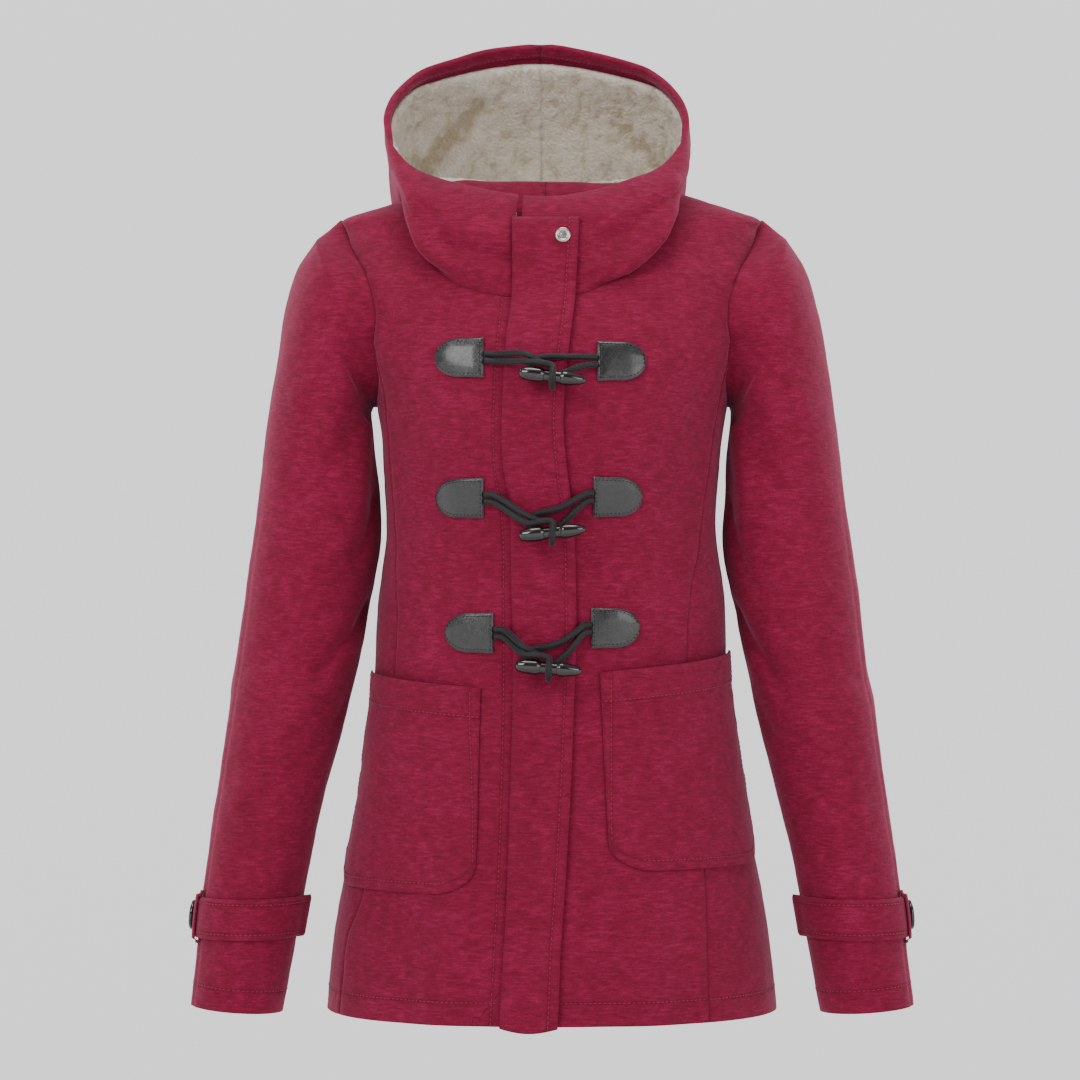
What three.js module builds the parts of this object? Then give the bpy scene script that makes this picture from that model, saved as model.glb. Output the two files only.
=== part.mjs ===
// Hooded duffle coat in its worn form, hollow, with nobody inside.
// Millimetres, +Z up. The front faces -Y and +X is the wearer's left. Z 0 is the height of the shoulder points.
import * as THREE from 'three';

// Driving sizes
const CLOTH = 2; // wall of the coating cloth
const FLEECE = 2.5; // wall of the hood lining with its pile
const LINING_GAP = 2; // between the hood and its lining
const SEAM_GAP = 0.3; // between two pieces that are sewn together
const LAID_ON = 0.9; // under a piece that lies on a curved panel
const HEM = -672; // height of the coat's hem
const SHOULDER_POINT = -5; // height where the shoulder seam meets the armhole
const ARMPIT = -165;
const NECK_CENTRE = -7; // x of the middle of the neck opening
const RIM_CENTRE = -13; // x of the middle of the hood's opening
const RIM_TURN = 11; // cloth turned in round the hood's opening
const CORD = 5.2; // diameter of the closing cords
const BUTTON = { diameter: 25, thickness: 3.5 };
const SNAP = { diameter: 13, thickness: 2.4 };

// Columns and rows of the panels' meshes
const SIDE_ROWS = 12; // hem to armpit
const ARMHOLE_LOW = 4; // armpit to the princess seam
const ARMHOLE_HIGH = 6; // princess seam to the shoulder point
const ARMHOLE_BACK = 10;
const FRONT_COLUMNS = 7;
const SIDE_COLUMNS = 3;
const NECK_RIGHT = 6; // segments of each part of the neckline
const NECK_LEFT = 7;
const NECK_BACK = 10;

const radians = THREE.MathUtils.degToRad;
const degrees = THREE.MathUtils.radToDeg;
const mix = THREE.MathUtils.lerp;
const vector = (x, y, z) => new THREE.Vector3(x, y, z);
const moved = (point, direction, distance) => point.clone().addScaledVector(direction, distance);
const steps = (count) => Array.from({ length: count + 1 }, (unused, i) => i / count);
const signedPower = (value, power) => Math.sign(value) * Math.abs(value) ** power;

// Smooth functions of the first column, one for each other column, through the rows of a table.
function table(columns, rows) {
  const at = rows.map((row) => row[0]);
  const last = rows.length - 1;
  const slope = (i, c) => {
    const before = Math.max(i - 1, 0);
    const after = Math.min(i + 1, last);
    return (rows[after][c] - rows[before][c]) / (at[after] - at[before]);
  };
  const value = (t, c) => {
    let i = 0;
    while (i < last - 1 && t > at[i + 1]) i += 1;
    const span = at[i + 1] - at[i];
    const u = THREE.MathUtils.clamp((t - at[i]) / span, 0, 1);
    const rise = rows[i + 1][c] - rows[i][c];
    const start = slope(i, c) * span;
    const end = slope(i + 1, c) * span;
    return rows[i][c] + u * (start + u * (3 * rise - 2 * start - end + u * (start + end - 2 * rise)));
  };
  return Object.fromEntries(columns.map((name, c) => [name, (t) => value(t, c)]));
}

// Horizontal sections of the body, from the hem up to the neck points on the shoulder ridge
const body = table(['z', 'halfWidth', 'front', 'back', 'squareness'], [
  [-690, 193, 152, 138, 2.3],
  [-600, 182, 146, 130, 2.3],
  [-500, 164, 138, 120, 2.3],
  [-400, 150, 132, 112, 2.3],
  [-330, 147, 129, 109, 2.3],
  [-275, 140, 130, 110, 2.3],
  [-220, 142, 136, 114, 2.4],
  [-185, 145, 140, 119, 2.5],
  [-130, 156, 132, 119, 2.6],
  [-90, 166, 116, 112, 2.6],
  [-60, 172, 101, 102, 2.6],
  [-35, 174, 84, 88, 2.5],
  [-15, 175.5, 67, 73, 2.5],
  [-5, 176, 57, 63, 2.4],
  [5, 146, 47, 53, 2.3],
  [16, 112, 37, 43, 2.2],
  [24, 88, 30, 36, 2.2],
]);

// Soft folds of the body: a ridge between two points on the front or the back, given by x and z
const BODY_FOLDS = [
  // face, x and z of one end, x and z of the other, half width, height
  { face: -1, from: [-128, -150], to: [-96, -250], width: 16, height: -3.5 },
  { face: -1, from: [126, -150], to: [98, -245], width: 16, height: -3.5 },
  { face: -1, from: [-120, -300], to: [-75, -250], width: 18, height: 2.5 },
  { face: -1, from: [112, -290], to: [70, -262], width: 18, height: 2.5 },
  { face: -1, from: [-95, -672], to: [-80, -560], width: 26, height: 4 },
  { face: -1, from: [80, -672], to: [74, -560], width: 24, height: 3.5 },
  { face: 1, from: [-60, -672], to: [-46, -430], width: 30, height: 6 },
  { face: 1, from: [64, -672], to: [50, -430], width: 30, height: 6 },
  { face: 1, from: [0, -672], to: [0, -470], width: 34, height: -5 },
  { face: 1, from: [-128, -160], to: [-70, -262], width: 18, height: -4 },
  { face: 1, from: [128, -160], to: [72, -258], width: 18, height: -4 },
];

function bodyPoint(angle, z) {
  const power = 2 / body.squareness(z);
  const forward = Math.cos(radians(angle));
  const depth = forward > 0 ? body.front(z) : body.back(z);
  const x = body.halfWidth(z) * signedPower(Math.sin(radians(angle)), power);
  return vector(x, -depth * signedPower(forward, power), z);
}

function bodyNormal(angle, z) {
  const along = bodyPoint(angle + 2, z).sub(bodyPoint(angle - 2, z));
  const up = bodyPoint(angle, z + 1).sub(bodyPoint(angle, z - 1));
  return along.cross(up).normalize();
}

// Height of a soft ridge at a point that lies beside the line between two others
function ridge(point, from, to, width, height) {
  const line = to.clone().sub(from);
  const along = THREE.MathUtils.clamp(point.clone().sub(from).dot(line) / line.lengthSq(), 0, 1);
  const distance = point.distanceTo(from.clone().addScaledVector(line, along));
  return height * Math.exp(-((distance / width) ** 2));
}

function bodyFold(point) {
  const here = new THREE.Vector2(point.x, point.z);
  return BODY_FOLDS.filter((fold) => fold.face * point.y > 0).reduce((sum, fold) => {
    const from = new THREE.Vector2(...fold.from);
    const to = new THREE.Vector2(...fold.to);
    return sum + ridge(here, from, to, fold.width, fold.height);
  }, 0);
}

// A point of the coat's outer face, moved out from it
function onBody([angle, z], out = 0) {
  const point = bodyPoint(angle, z);
  return moved(point, bodyNormal(angle, z), bodyFold(point) + out);
}

// Places on the body, as an angle from the centre front and a height
function onFront(x, z) {
  const share = Math.min(Math.abs(x) / body.halfWidth(z), 1);
  return [Math.sign(x) * degrees(Math.asin(share ** (body.squareness(z) / 2))), z];
}

function onBack(x, z) {
  return [180 - onFront(x, z)[0], z];
}

// Points at equal steps over the body along a smooth line through the given places
function line(places, count) {
  const curve = new THREE.SplineCurve(places.map((place) => new THREE.Vector2(...place)));
  const fine = curve.getPoints(places.length * 12).map((p) => [p.x, p.y]);
  const lengths = [0];
  fine.slice(1).forEach((place, i) => {
    lengths.push(lengths[i] + bodyPoint(...place).distanceTo(bodyPoint(...fine[i])));
  });
  return steps(count).map((share) => {
    const goal = share * lengths.at(-1);
    const next = Math.max(lengths.findIndex((length) => length >= goal - 1e-9), 1);
    const part = (goal - lengths[next - 1]) / (lengths[next] - lengths[next - 1]);
    return [0, 1].map((c) => mix(fine[next - 1][c], fine[next][c], part));
  });
}

const joined = (...lines) => lines.flatMap((points, i) => (i ? points.slice(1) : points));
const mirrored = (points) => points.map(([angle, z]) => [-angle, z]);

// Grid of places between four lines that meet at their ends: bottom and top run one way, left and right go up
function patch(bottom, top, left, right) {
  const rows = left.length - 1;
  const columns = bottom.length - 1;
  return left.map((start, i) => bottom.map((low, j) => {
    const u = j / columns;
    const v = i / rows;
    return [0, 1].map((c) => {
      const across = mix(start[c], right[i][c], u);
      const up = mix(low[c], top[j][c], v);
      const corners = mix(mix(bottom[0][c], bottom[columns][c], u), mix(top[0][c], top[columns][c], u), v);
      return across + up - corners;
    });
  }));
}

// One closed solid from its vertices and triangles, with its faces turned out
function closedSolid(points, triangles) {
  const at = (i) => points[i];
  const volume = triangles.reduce((sum, [a, b, c]) => sum + at(a).dot(at(b).clone().cross(at(c))), 0);
  const faces = volume < 0 ? triangles.map(([a, b, c]) => [a, c, b]) : triangles;
  const geometry = new THREE.BufferGeometry();
  geometry.setAttribute('position', new THREE.Float32BufferAttribute(points.flatMap((p) => p.toArray()), 3));
  geometry.setIndex(faces.flat());
  geometry.computeVertexNormals();
  return geometry;
}

// A wall between an outer and an inner grid; round closes it along its rows into a tube
function wall(outer, inner, round = false) {
  const rows = outer.length;
  const columns = outer[0].length;
  const points = [...outer.flat(), ...inner.flat()];
  const index = (layer, i, j) => layer * rows * columns + i * columns + (j % columns);
  const triangles = [];
  const quad = (a, b, c, d) => triangles.push([a, b, c], [a, c, d]);
  const across = round ? columns : columns - 1;
  for (let i = 0; i < rows - 1; i += 1) {
    for (let j = 0; j < across; j += 1) {
      quad(index(0, i, j), index(0, i, j + 1), index(0, i + 1, j + 1), index(0, i + 1, j));
      quad(index(1, i, j), index(1, i + 1, j), index(1, i + 1, j + 1), index(1, i, j + 1));
    }
  }
  for (let j = 0; j < across; j += 1) {
    quad(index(0, 0, j), index(1, 0, j), index(1, 0, j + 1), index(0, 0, j + 1));
    quad(index(0, rows - 1, j), index(0, rows - 1, j + 1), index(1, rows - 1, j + 1), index(1, rows - 1, j));
  }
  if (!round) {
    for (let i = 0; i < rows - 1; i += 1) {
      quad(index(0, i, 0), index(0, i + 1, 0), index(1, i + 1, 0), index(1, i, 0));
      quad(index(0, i, columns - 1), index(1, i, columns - 1), index(1, i + 1, columns - 1), index(0, i + 1, columns - 1));
    }
  }
  return closedSolid(points, triangles);
}

// The grid with each free edge drawn in by half a seam gap
function drawnIn(grid, amount = SEAM_GAP / 2) {
  const rows = grid.length - 1;
  const columns = grid[0].length - 1;
  const pull = (i, j, from, to) => grid[to[0]][to[1]].clone().sub(grid[from[0]][from[1]]).setLength(amount);
  return grid.map((row, i) => row.map((point, j) => {
    const result = point.clone();
    if (i === 0) result.add(pull(i, j, [0, j], [1, j]));
    if (i === rows) result.add(pull(i, j, [rows, j], [rows - 1, j]));
    if (j === 0) result.add(pull(i, j, [i, 0], [i, 1]));
    if (j === columns) result.add(pull(i, j, [i, columns], [i, columns - 1]));
    return result;
  }));
}

// Outward normals of a grid of points whose rows run round and whose columns run along
function gridNormals(grid, round, facing) {
  const rows = grid.length - 1;
  const columns = grid[0].length;
  return grid.map((row, i) => row.map((point, j) => {
    const next = round ? (j + 1) % columns : Math.min(j + 1, columns - 1);
    const before = round ? (j + columns - 1) % columns : Math.max(j - 1, 0);
    const across = row[next].clone().sub(row[before]);
    const along = grid[Math.min(i + 1, rows)][j].clone().sub(grid[Math.max(i - 1, 0)][j]);
    return across.cross(along).normalize().multiplyScalar(facing);
  }));
}

// Seams of the body, as places on it
const ARMHOLE_SPLIT = onFront(149, -112);
const SHOULDER_TIP = [90, SHOULDER_POINT];
const armholeHigh = line(
  [ARMHOLE_SPLIT, onFront(147, -95), onFront(149, -76), onFront(157, -52), onFront(169, -31), SHOULDER_TIP],
  ARMHOLE_HIGH,
);
const armholeLow = line([[90, ARMPIT], [78, -153], [70, -135], ARMHOLE_SPLIT], ARMHOLE_LOW);
const armholeBack = line(
  [[90, ARMPIT], [101, -154], [108, -138], onBack(150, -112), onBack(151, -82), onBack(159, -54),
    onBack(169, -31), SHOULDER_TIP],
  ARMHOLE_BACK,
);
const sideSeam = line([[90, HEM], [90, -420], [90, ARMPIT]], SIDE_ROWS);
const princess = {
  right: mirrored(line(
    [onFront(178, HEM), onFront(175, -640), onFront(170, -605), onFront(157, -570), onFront(140, -480),
      onFront(131, -400), onFront(129, -330), onFront(131, -260), onFront(142, -160), ARMHOLE_SPLIT],
    SIDE_ROWS + ARMHOLE_LOW,
  )),
  left: line(
    [onFront(130, HEM), onFront(128, -620), onFront(125, -545), onFront(117, -470), onFront(113, -400),
      onFront(114, -326), onFront(125, -260), onFront(142, -160), ARMHOLE_SPLIT],
    SIDE_ROWS + ARMHOLE_LOW,
  ),
};

// The placket band: its sewn edge and its free edge at each height
const placket = table(['z', 'seam', 'free'], [
  [-674, -43, 4],
  [-621, -40, 6.5],
  [-566, -37, 10],
  [-463, -33.5, 16],
  [-378, -32, 19],
  [-296, -33.5, 19.5],
  [-250, -34.5, 16.5],
  [-217, -40, 12],
  [-185, -41, 9],
  [-152, -40, 10.5],
  [-113, -37.5, 14.7],
  [-76, -33, 19],
  [-11, -33, 22.3],
]);
const UNDER_PLACKET = { right: 7, left: 11 }; // how far the fronts reach in from the placket's sewn edge
const edgeUnderPlacket = (side, z) => onFront(placket.seam(z) + UNDER_PLACKET[side], z);

const NECK_FRONT = -77; // height of the neck seam at the placket
const NECK_POINT = { right: [-90, 16], left: [90, 20.5] };
const neckline = {
  right: line(
    [edgeUnderPlacket('right', NECK_FRONT), onFront(-38, -77), onFront(-66, -71), onFront(-84, -62.5),
      onFront(-100, -46), onFront(-107.4, -27), onFront(-111, -1), onFront(-111.8, 8), NECK_POINT.right],
    NECK_RIGHT,
  ),
  left: line(
    [edgeUnderPlacket('left', NECK_FRONT), onFront(0, -77), onFront(27, -74), onFront(43, -66.6),
      onFront(60, -58.6), onFront(78.6, -39.7), onFront(89.4, -16), onFront(96, 2.5), onFront(97.5, 12),
      NECK_POINT.left],
    NECK_LEFT,
  ),
  back: line(
    [[90, 20.5], onBack(90, 15), onBack(45, 8), onBack(NECK_CENTRE, 5), onBack(-55, 7), onBack(-100, 12),
      [270, 16]],
    NECK_BACK,
  ),
};

function frontEdge(side, rows) {
  const places = [HEM, -560, -450, -340, -250, -217, -185, -152, -113, NECK_FRONT];
  return line(places.map((z) => edgeUnderPlacket(side, z)), rows);
}

const panelGrid = (places, out = 0) => drawnIn(places.map((row) => row.map((place) => onBody(place, out))));
const panelGeometry = (places) => wall(panelGrid(places), panelGrid(places, -CLOTH));

function frontPlaces(side) {
  const sign = side === 'right' ? -1 : 1;
  const highArmhole = sign < 0 ? mirrored(armholeHigh) : armholeHigh;
  const outerEdge = joined(princess[side], highArmhole);
  const neck = neckline[side];
  const centre = joined(frontEdge(side, outerEdge.length - neck.length), neck);
  const hem = line([outerEdge[0], centre[0]], FRONT_COLUMNS);
  const shoulder = line([outerEdge.at(-1), NECK_POINT[side]], FRONT_COLUMNS);
  return patch(hem, shoulder, outerEdge, centre);
}
const fronts = { right: frontPlaces('right'), left: frontPlaces('left') };

function sideFrontPanel(side) {
  const turn = side === 'right' ? mirrored : (points) => points;
  const outerEdge = turn(joined(sideSeam, armholeLow));
  const hem = line([outerEdge[0], princess[side][0]], SIDE_COLUMNS);
  const top = Array(SIDE_COLUMNS + 1).fill(ARMHOLE_SPLIT);
  return panelGeometry(patch(hem, turn(top), outerEdge, princess[side]));
}

function backPanel() {
  const far = (points) => points.map(([angle, z]) => [360 - angle, z]);
  const left = joined(sideSeam, armholeBack);
  const shoulderLeft = line([SHOULDER_TIP, NECK_POINT.left], FRONT_COLUMNS);
  const shoulderRight = far(line([[90, 16], SHOULDER_TIP], FRONT_COLUMNS));
  const top = joined(shoulderLeft, neckline.back, shoulderRight);
  const hem = line([[90, HEM], [270, HEM]], top.length - 1);
  return panelGeometry(patch(hem, top, left, far(left)));
}

// Sleeve sections from the cap to the cuff. Outer and inner are the ends of each section in x and z, depth is half
// its depth from front to back and y its middle.
const sleeve = table(['row', 'outerX', 'outerZ', 'innerX', 'innerZ', 'y', 'depth'], [
  [1, 199, -22, 153, -169, 0, 79],
  [2, 215, -48, 152.5, -174, -2, 78],
  [3, 226, -86, 151.5, -182, -3, 75],
  [4, 233.5, -130, 150, -195, -4, 71],
  [5, 239.5, -170, 148, -216, -5, 68],
  [6, 245.5, -215, 146, -242, -6, 65],
  [7, 251.5, -262, 144.5, -275, -7, 62.5],
  [8, 257.5, -305, 149, -310, -10, 60.5],
  [9, 262, -345, 156, -346, -14, 58.5],
  [10, 267.6, -390, 165.5, -389, -18, 56],
  [11, 275, -440, 177, -438, -23, 54],
  [12, 281.5, -490, 189.5, -488, -28, 51.5],
  [13, 289, -540, 201.5, -538, -32, 49],
  [14, 295, -585, 210, -584, -36, 47],
  [15, 298.5, -625, 217, -625, -38, 45.5],
  [16, 303, -666, 225.5, -672, -39, 44],
]);
const SLEEVE_ROWS = 18;
const SLEEVE_ROUND = ARMHOLE_HIGH + ARMHOLE_LOW + ARMHOLE_BACK;

// Folds of each sleeve: from one row and turn to another, where turn 0 is the outer side, 90 the front and 180 the
// side next to the body
const SLEEVE_FOLDS = {
  right: [
    { from: [2.2, 118], to: [4.6, 100], width: 13, height: 4 },
    { from: [3.4, 150], to: [6.2, 132], width: 13, height: 4.5 },
    { from: [6, 160], to: [7.6, 136], width: 10, height: -3.5 },
    { from: [8.7, 172], to: [10, 118], width: 12, height: -6 },
    { from: [8, 200], to: [10.2, 240], width: 14, height: -5 },
    { from: [9.4, 150], to: [10.8, 95], width: 12, height: 3.5 },
    { from: [12, 60], to: [13.2, 120], width: 14, height: 3 },
  ],
  left: [
    { from: [2.4, 120], to: [4.4, 98], width: 13, height: 3.5 },
    { from: [3.6, 152], to: [6.4, 130], width: 13, height: 4.5 },
    { from: [6.2, 160], to: [7.8, 140], width: 10, height: -3.5 },
    { from: [8.8, 172], to: [10.3, 122], width: 12, height: -5.5 },
    { from: [8.2, 200], to: [10.4, 236], width: 14, height: -5 },
    { from: [9.8, 150], to: [11, 100], width: 12, height: 3 },
    { from: [12.2, 66], to: [13.6, 118], width: 14, height: 3 },
  ],
};
const ROW_LENGTH = 43; // between two rows of the sleeve's table
const TURN_LENGTH = 1; // along a section for each degree

function sleeveSection(row, turn) {
  const outer = vector(sleeve.outerX(row), sleeve.y(row), sleeve.outerZ(row));
  const inner = vector(sleeve.innerX(row), sleeve.y(row), sleeve.innerZ(row));
  const centre = outer.clone().lerp(inner, 0.5);
  const half = outer.sub(centre);
  const forward = vector(0, -sleeve.depth(row), 0);
  return moved(moved(centre, half, Math.cos(radians(turn))), forward, Math.sin(radians(turn)));
}

function sleeveNormal(row, turn) {
  const across = sleeveSection(row, turn + 3).sub(sleeveSection(row, turn - 3));
  const along = sleeveSection(Math.min(row + 0.1, 16), turn).sub(sleeveSection(Math.max(row - 0.1, 1), turn));
  return across.cross(along).normalize();
}

// A point of a left sleeve's outer face with the folds of one side, moved out from it
function onSleeve(side, row, turn, out = 0) {
  const here = new THREE.Vector2(row * ROW_LENGTH, turn * TURN_LENGTH);
  const place = ([r, t]) => new THREE.Vector2(r * ROW_LENGTH, t * TURN_LENGTH);
  const fold = SLEEVE_FOLDS[side].reduce(
    (sum, { from, to, width, height }) => sum + ridge(here, place(from), place(to), width, height),
    0,
  );
  return moved(sleeveSection(row, turn), sleeveNormal(row, turn), fold + out);
}

const onSide = (side, grid) => grid.map((row) => row.map((p) => vector(side === 'right' ? -p.x : p.x, p.y, p.z)));

// Places round an armhole from the shoulder point over the front to the armpit and up the back
const armhole = joined([...armholeHigh].reverse(), [...armholeLow].reverse(), armholeBack).slice(0, -1);

// The first two rows of a tube that is sewn into a round opening of the body: at the seam, and a little way out of
// it. The places run round the opening with the panels on the side that facing gives.
function seamRows(places, facing, away, gap = SEAM_GAP) {
  const points = places.map((place) => onBody(place));
  const count = points.length;
  const edge = points.map((point, i) => {
    const along = points[(i + 1) % count].clone().sub(points[(i + count - 1) % count]);
    const normal = bodyNormal(...places[i]);
    const into = along.cross(normal).normalize().multiplyScalar(facing);
    const radial = normal.clone().sub(into);
    radial.addScaledVector(away, -radial.dot(away)).normalize();
    return { seam: moved(point, into, gap), normal, radial };
  });
  const out = edge.map(({ seam }) => moved(seam, away, CLOTH * 1.4));
  return {
    outer: [edge.map(({ seam }) => seam), out],
    inner: [
      edge.map(({ seam, normal }) => moved(seam, normal, -CLOTH)),
      edge.map(({ radial }, i) => moved(out[i], radial, -CLOTH)),
    ],
  };
}

function sleeveGeometry(side) {
  const start = seamRows(armhole, -1, vector(1, 0, 0), 2 * SEAM_GAP);
  const rows = steps(SLEEVE_ROWS).map((share) => 1 + 15 * share);
  const turns = Array.from({ length: SLEEVE_ROUND }, (unused, k) => (k * 360) / SLEEVE_ROUND);
  const outer = rows.map((row) => turns.map((turn) => onSleeve(side, row, turn)));
  const normals = gridNormals(outer, true, 1);
  const inner = outer.map((row, i) => row.map((point, j) => moved(point, normals[i][j], -CLOTH)));
  return wall(onSide(side, [...start.outer, ...outer]), onSide(side, [...start.inner, ...inner]), true);
}

// The hood: its outer face along paths from the neck seam to the rim, at angles round the neck from the front.
// Each path's points are x from the neck's middle, y and z; the first is a little above the seam.
const HOOD_PATHS = [
  { angle: 0, points: [[0, -109, -66], [0, -110.5, -56], [0, -110.5, -46], [0, -109.5, -36], [0, -107, -26],
    [0, -104, -17], [0, -100, -9], [0, -94, 0], [0, -85, 7]] },
  { angle: 45, points: [[93, -92, -48], [98, -94, -40], [101, -94, -30], [103, -92, -18], [103, -88, -6],
    [102, -83, 5], [99, -76, 15], [95, -68, 23], [92, -58, 29]] },
  { angle: 70, points: [[109, -41, 6], [115, -42, 9], [119.5, -42, 15], [122, -41, 23], [124, -39, 31],
    [124.5, -36, 38], [124, -32, 45], [123, -28, 51], [122, -24, 56]] },
  { angle: 90, points: [[108, 1, 20.5], [113.5, 2, 19.5], [118, 3, 21], [121.5, 4, 26.5], [124.5, 5, 35],
    [127, 6, 46], [129, 6.5, 58], [130, 7, 70], [130, 7.5, 82]] },
  { angle: 110, points: [[97, 36, 23], [103, 44, 27], [110, 55, 25], [117, 66, 19], [123, 76, 18], [128, 82, 30],
    [131, 80, 52], [129, 64, 82], [122, 39, 108]] },
  { angle: 135, points: [[52, 55, 24], [62, 68, 31], [76, 84, 22], [88, 88, -12], [100, 106, -50],
    [112, 134, -50], [119, 152, 12], [112, 125, 88], [92, 73, 135]] },
  { angle: 180, points: [[0, 66, 26], [0, 80, 33], [0, 94, 12], [0, 101, -40], [0, 122, -86], [0, 160, -84],
    [0, 186, -10], [0, 172, 85], [0, 100, 157]] },
];
const HOOD_ROWS = 16;
const LINING_START = 4; // row of the hood where its lining begins
const PATH_POINTS = HOOD_PATHS[0].points.length;

// One smooth table for each point of the paths, mirrored past the front and the back
const hoodTables = Array.from({ length: PATH_POINTS }, (unused, k) => {
  const row = ({ angle, points }) => [angle, ...points[k]];
  const flipped = (path, centre) => [2 * centre - path.angle, -path.points[k][0], ...path.points[k].slice(1)];
  return table(['angle', 'x', 'y', 'z'], [
    flipped(HOOD_PATHS[1], 0), ...HOOD_PATHS.map(row), flipped(HOOD_PATHS.at(-2), 180),
  ]);
});

// Folds of the hood's front, each from one angle and row share to another
const HOOD_FOLDS = [
  { from: [-54, 0.5], to: [-18, 0.3], width: 11, height: -3 },
  { from: [-52, 0.26], to: [-26, 0.12], width: 9, height: 2 },
  { from: [56, 0.52], to: [12, 0.28], width: 11, height: -3 },
  { from: [54, 0.28], to: [28, 0.12], width: 9, height: 2 },
];

function hoodPath(angle, start) {
  const side = Math.sign(angle) || 1;
  const lift = Math.max(start.z + 2 - hoodTables[0].z(Math.abs(angle)), 0);
  const points = hoodTables.map((at, k) => {
    const share = k / (PATH_POINTS - 1);
    const rise = lift * (1 - share) ** 2;
    const drift = share * THREE.MathUtils.smoothstep(Math.abs(angle), 8, 50);
    const centre = mix(NECK_CENTRE, RIM_CENTRE, drift);
    return vector(centre + side * at.x(Math.abs(angle)), at.y(Math.abs(angle)), at.z(Math.abs(angle)) + rise);
  });
  return new THREE.CatmullRomCurve3([start, ...points], false, 'catmullrom', 0.5);
}

function hoodFold(angle, share) {
  const here = new THREE.Vector2(angle, share * 80);
  const place = ([a, s]) => new THREE.Vector2(a, s * 80);
  return HOOD_FOLDS.reduce(
    (sum, { from, to, width, height }) => sum + ridge(here, place(from), place(to), width, height),
    0,
  );
}

// Places round the whole neck, from the placket over the right shoulder and the back to the placket again
const neckPlaces = joined(
  neckline.right,
  [...neckline.back].reverse(),
  [...neckline.left].reverse(),
);
const NECK_SPLIT = NECK_RIGHT + NECK_BACK / 2; // the hood's centre back seam
const neckSeam = seamRows(neckPlaces, 1, vector(0, 0, 1));

// Shares of a path for the hood's rows: the last but one is where the turned-in cloth ends, the last is the rim
function hoodShares(path) {
  const rim = path.getPoint(1);
  const end = steps(400).map((t) => 0.6 + 0.4 * t).find((t) => path.getPoint(t).distanceTo(rim) < RIM_TURN + 9);
  return [...steps(HOOD_ROWS - 1).map((share) => share * end), 1];
}

// The hood's outer face: a grid whose rows run round the neck and whose columns go up to the rim
const hoodColumns = neckSeam.outer[1].map((start) => {
  const angle = degrees(Math.atan2(start.x - NECK_CENTRE, -start.y));
  const path = hoodPath(angle, start);
  const shares = hoodShares(path);
  return { angle, shares, points: shares.map((share) => path.getPoint(share)) };
});

function hoodNormal(grid, i, j) {
  const row = grid[i];
  const up = grid[Math.min(i + 1, HOOD_ROWS)][j].clone().sub(grid[Math.max(i - 1, 0)][j]);
  return row[Math.max(j - 1, 0)].clone().sub(row[Math.min(j + 1, row.length - 1)]).cross(up).normalize();
}

const hoodSmooth = steps(HOOD_ROWS).map((share, i) => hoodColumns.map(({ points }) => points[i]));
const hoodFace = hoodSmooth.map((row, i) => row.map((point, j) => {
  const { angle, shares } = hoodColumns[j];
  const taper = i > 0 && i < HOOD_ROWS ? Math.sin(Math.PI * shares[i]) ** 0.5 : 0;
  return moved(point, hoodNormal(hoodSmooth, i, j), hoodFold(angle, shares[i]) * taper);
}));
const hoodNormals = hoodFace.map((row, i) => row.map((point, j) => hoodNormal(hoodFace, i, j)));

// Outer and inner grids of the hood with its rim turned in by a narrow fold
const RIM_FOLD = 3 * CLOTH;
const HEM_EASE = 2; // between the lining and the turned-in hem, where the rim bends most
const hoodGrids = (() => {
  const rim = hoodFace[HOOD_ROWS];
  const normals = hoodNormals[HOOD_ROWS];
  const up = rim.map((point, j) => point.clone().sub(hoodFace[HOOD_ROWS - 1][j]).normalize());
  const crest = rim.map((point, j) => moved(moved(point, up[j], 1.6), normals[j], -RIM_FOLD / 2));
  const turned = rim.map((point, j) => moved(point, normals[j], -RIM_FOLD));
  const end = turned.map((point, j) => moved(point, up[j], -RIM_TURN));
  const inside = hoodFace.slice(1).map((row, i) => row.map((p, j) => moved(p, hoodNormals[i + 1][j], -CLOTH)));
  return {
    outer: [neckSeam.outer[0], ...hoodFace, crest, turned, end],
    inner: [
      ...neckSeam.inner,
      ...inside,
      crest.map((point, j) => moved(point, up[j], -CLOTH)),
      turned.map((point, j) => moved(point, normals[j], CLOTH)),
      end.map((point, j) => moved(point, normals[j], CLOTH)),
    ],
  };
})();

const hoodHalf = {
  right: (grid) => grid.map((row) => row.slice(0, NECK_SPLIT + 1)),
  left: (grid) => grid.map((row) => row.slice(NECK_SPLIT)),
};

function hoodGeometry(side) {
  return wall(drawnIn(hoodHalf[side](hoodGrids.outer)), drawnIn(hoodHalf[side](hoodGrids.inner)));
}

function hoodLiningGeometry(side) {
  const depth = (distance) => {
    const grid = hoodFace.slice(LINING_START, HOOD_ROWS)
      .map((row, i) => row.map((point, j) => moved(point, hoodNormals[i + LINING_START][j], -distance)));
    const end = grid.at(-1).map((point, j) => moved(point, grid.at(-2)[j].clone().sub(point).normalize(), HEM_EASE));
    return [...grid.slice(0, -1), end];
  };
  const near = depth(CLOTH + LINING_GAP);
  const far = depth(CLOTH + LINING_GAP + FLEECE);
  return wall(drawnIn(hoodHalf[side](near)), drawnIn(hoodHalf[side](far)));
}

// What lies on the front is set out from the faces below it, along Y
const frontFaces = [
  panelGrid(fronts.right),
  panelGrid(fronts.left),
  drawnIn(hoodHalf.right(hoodGrids.outer)),
  drawnIn(hoodHalf.left(hoodGrids.outer)),
].flatMap((grid) => grid.slice(1).flatMap((row, i) => row.slice(1).flatMap((point, j) => [
  [grid[i][j], grid[i][j + 1], point],
  [grid[i][j], point, row[j]],
])));

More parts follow.
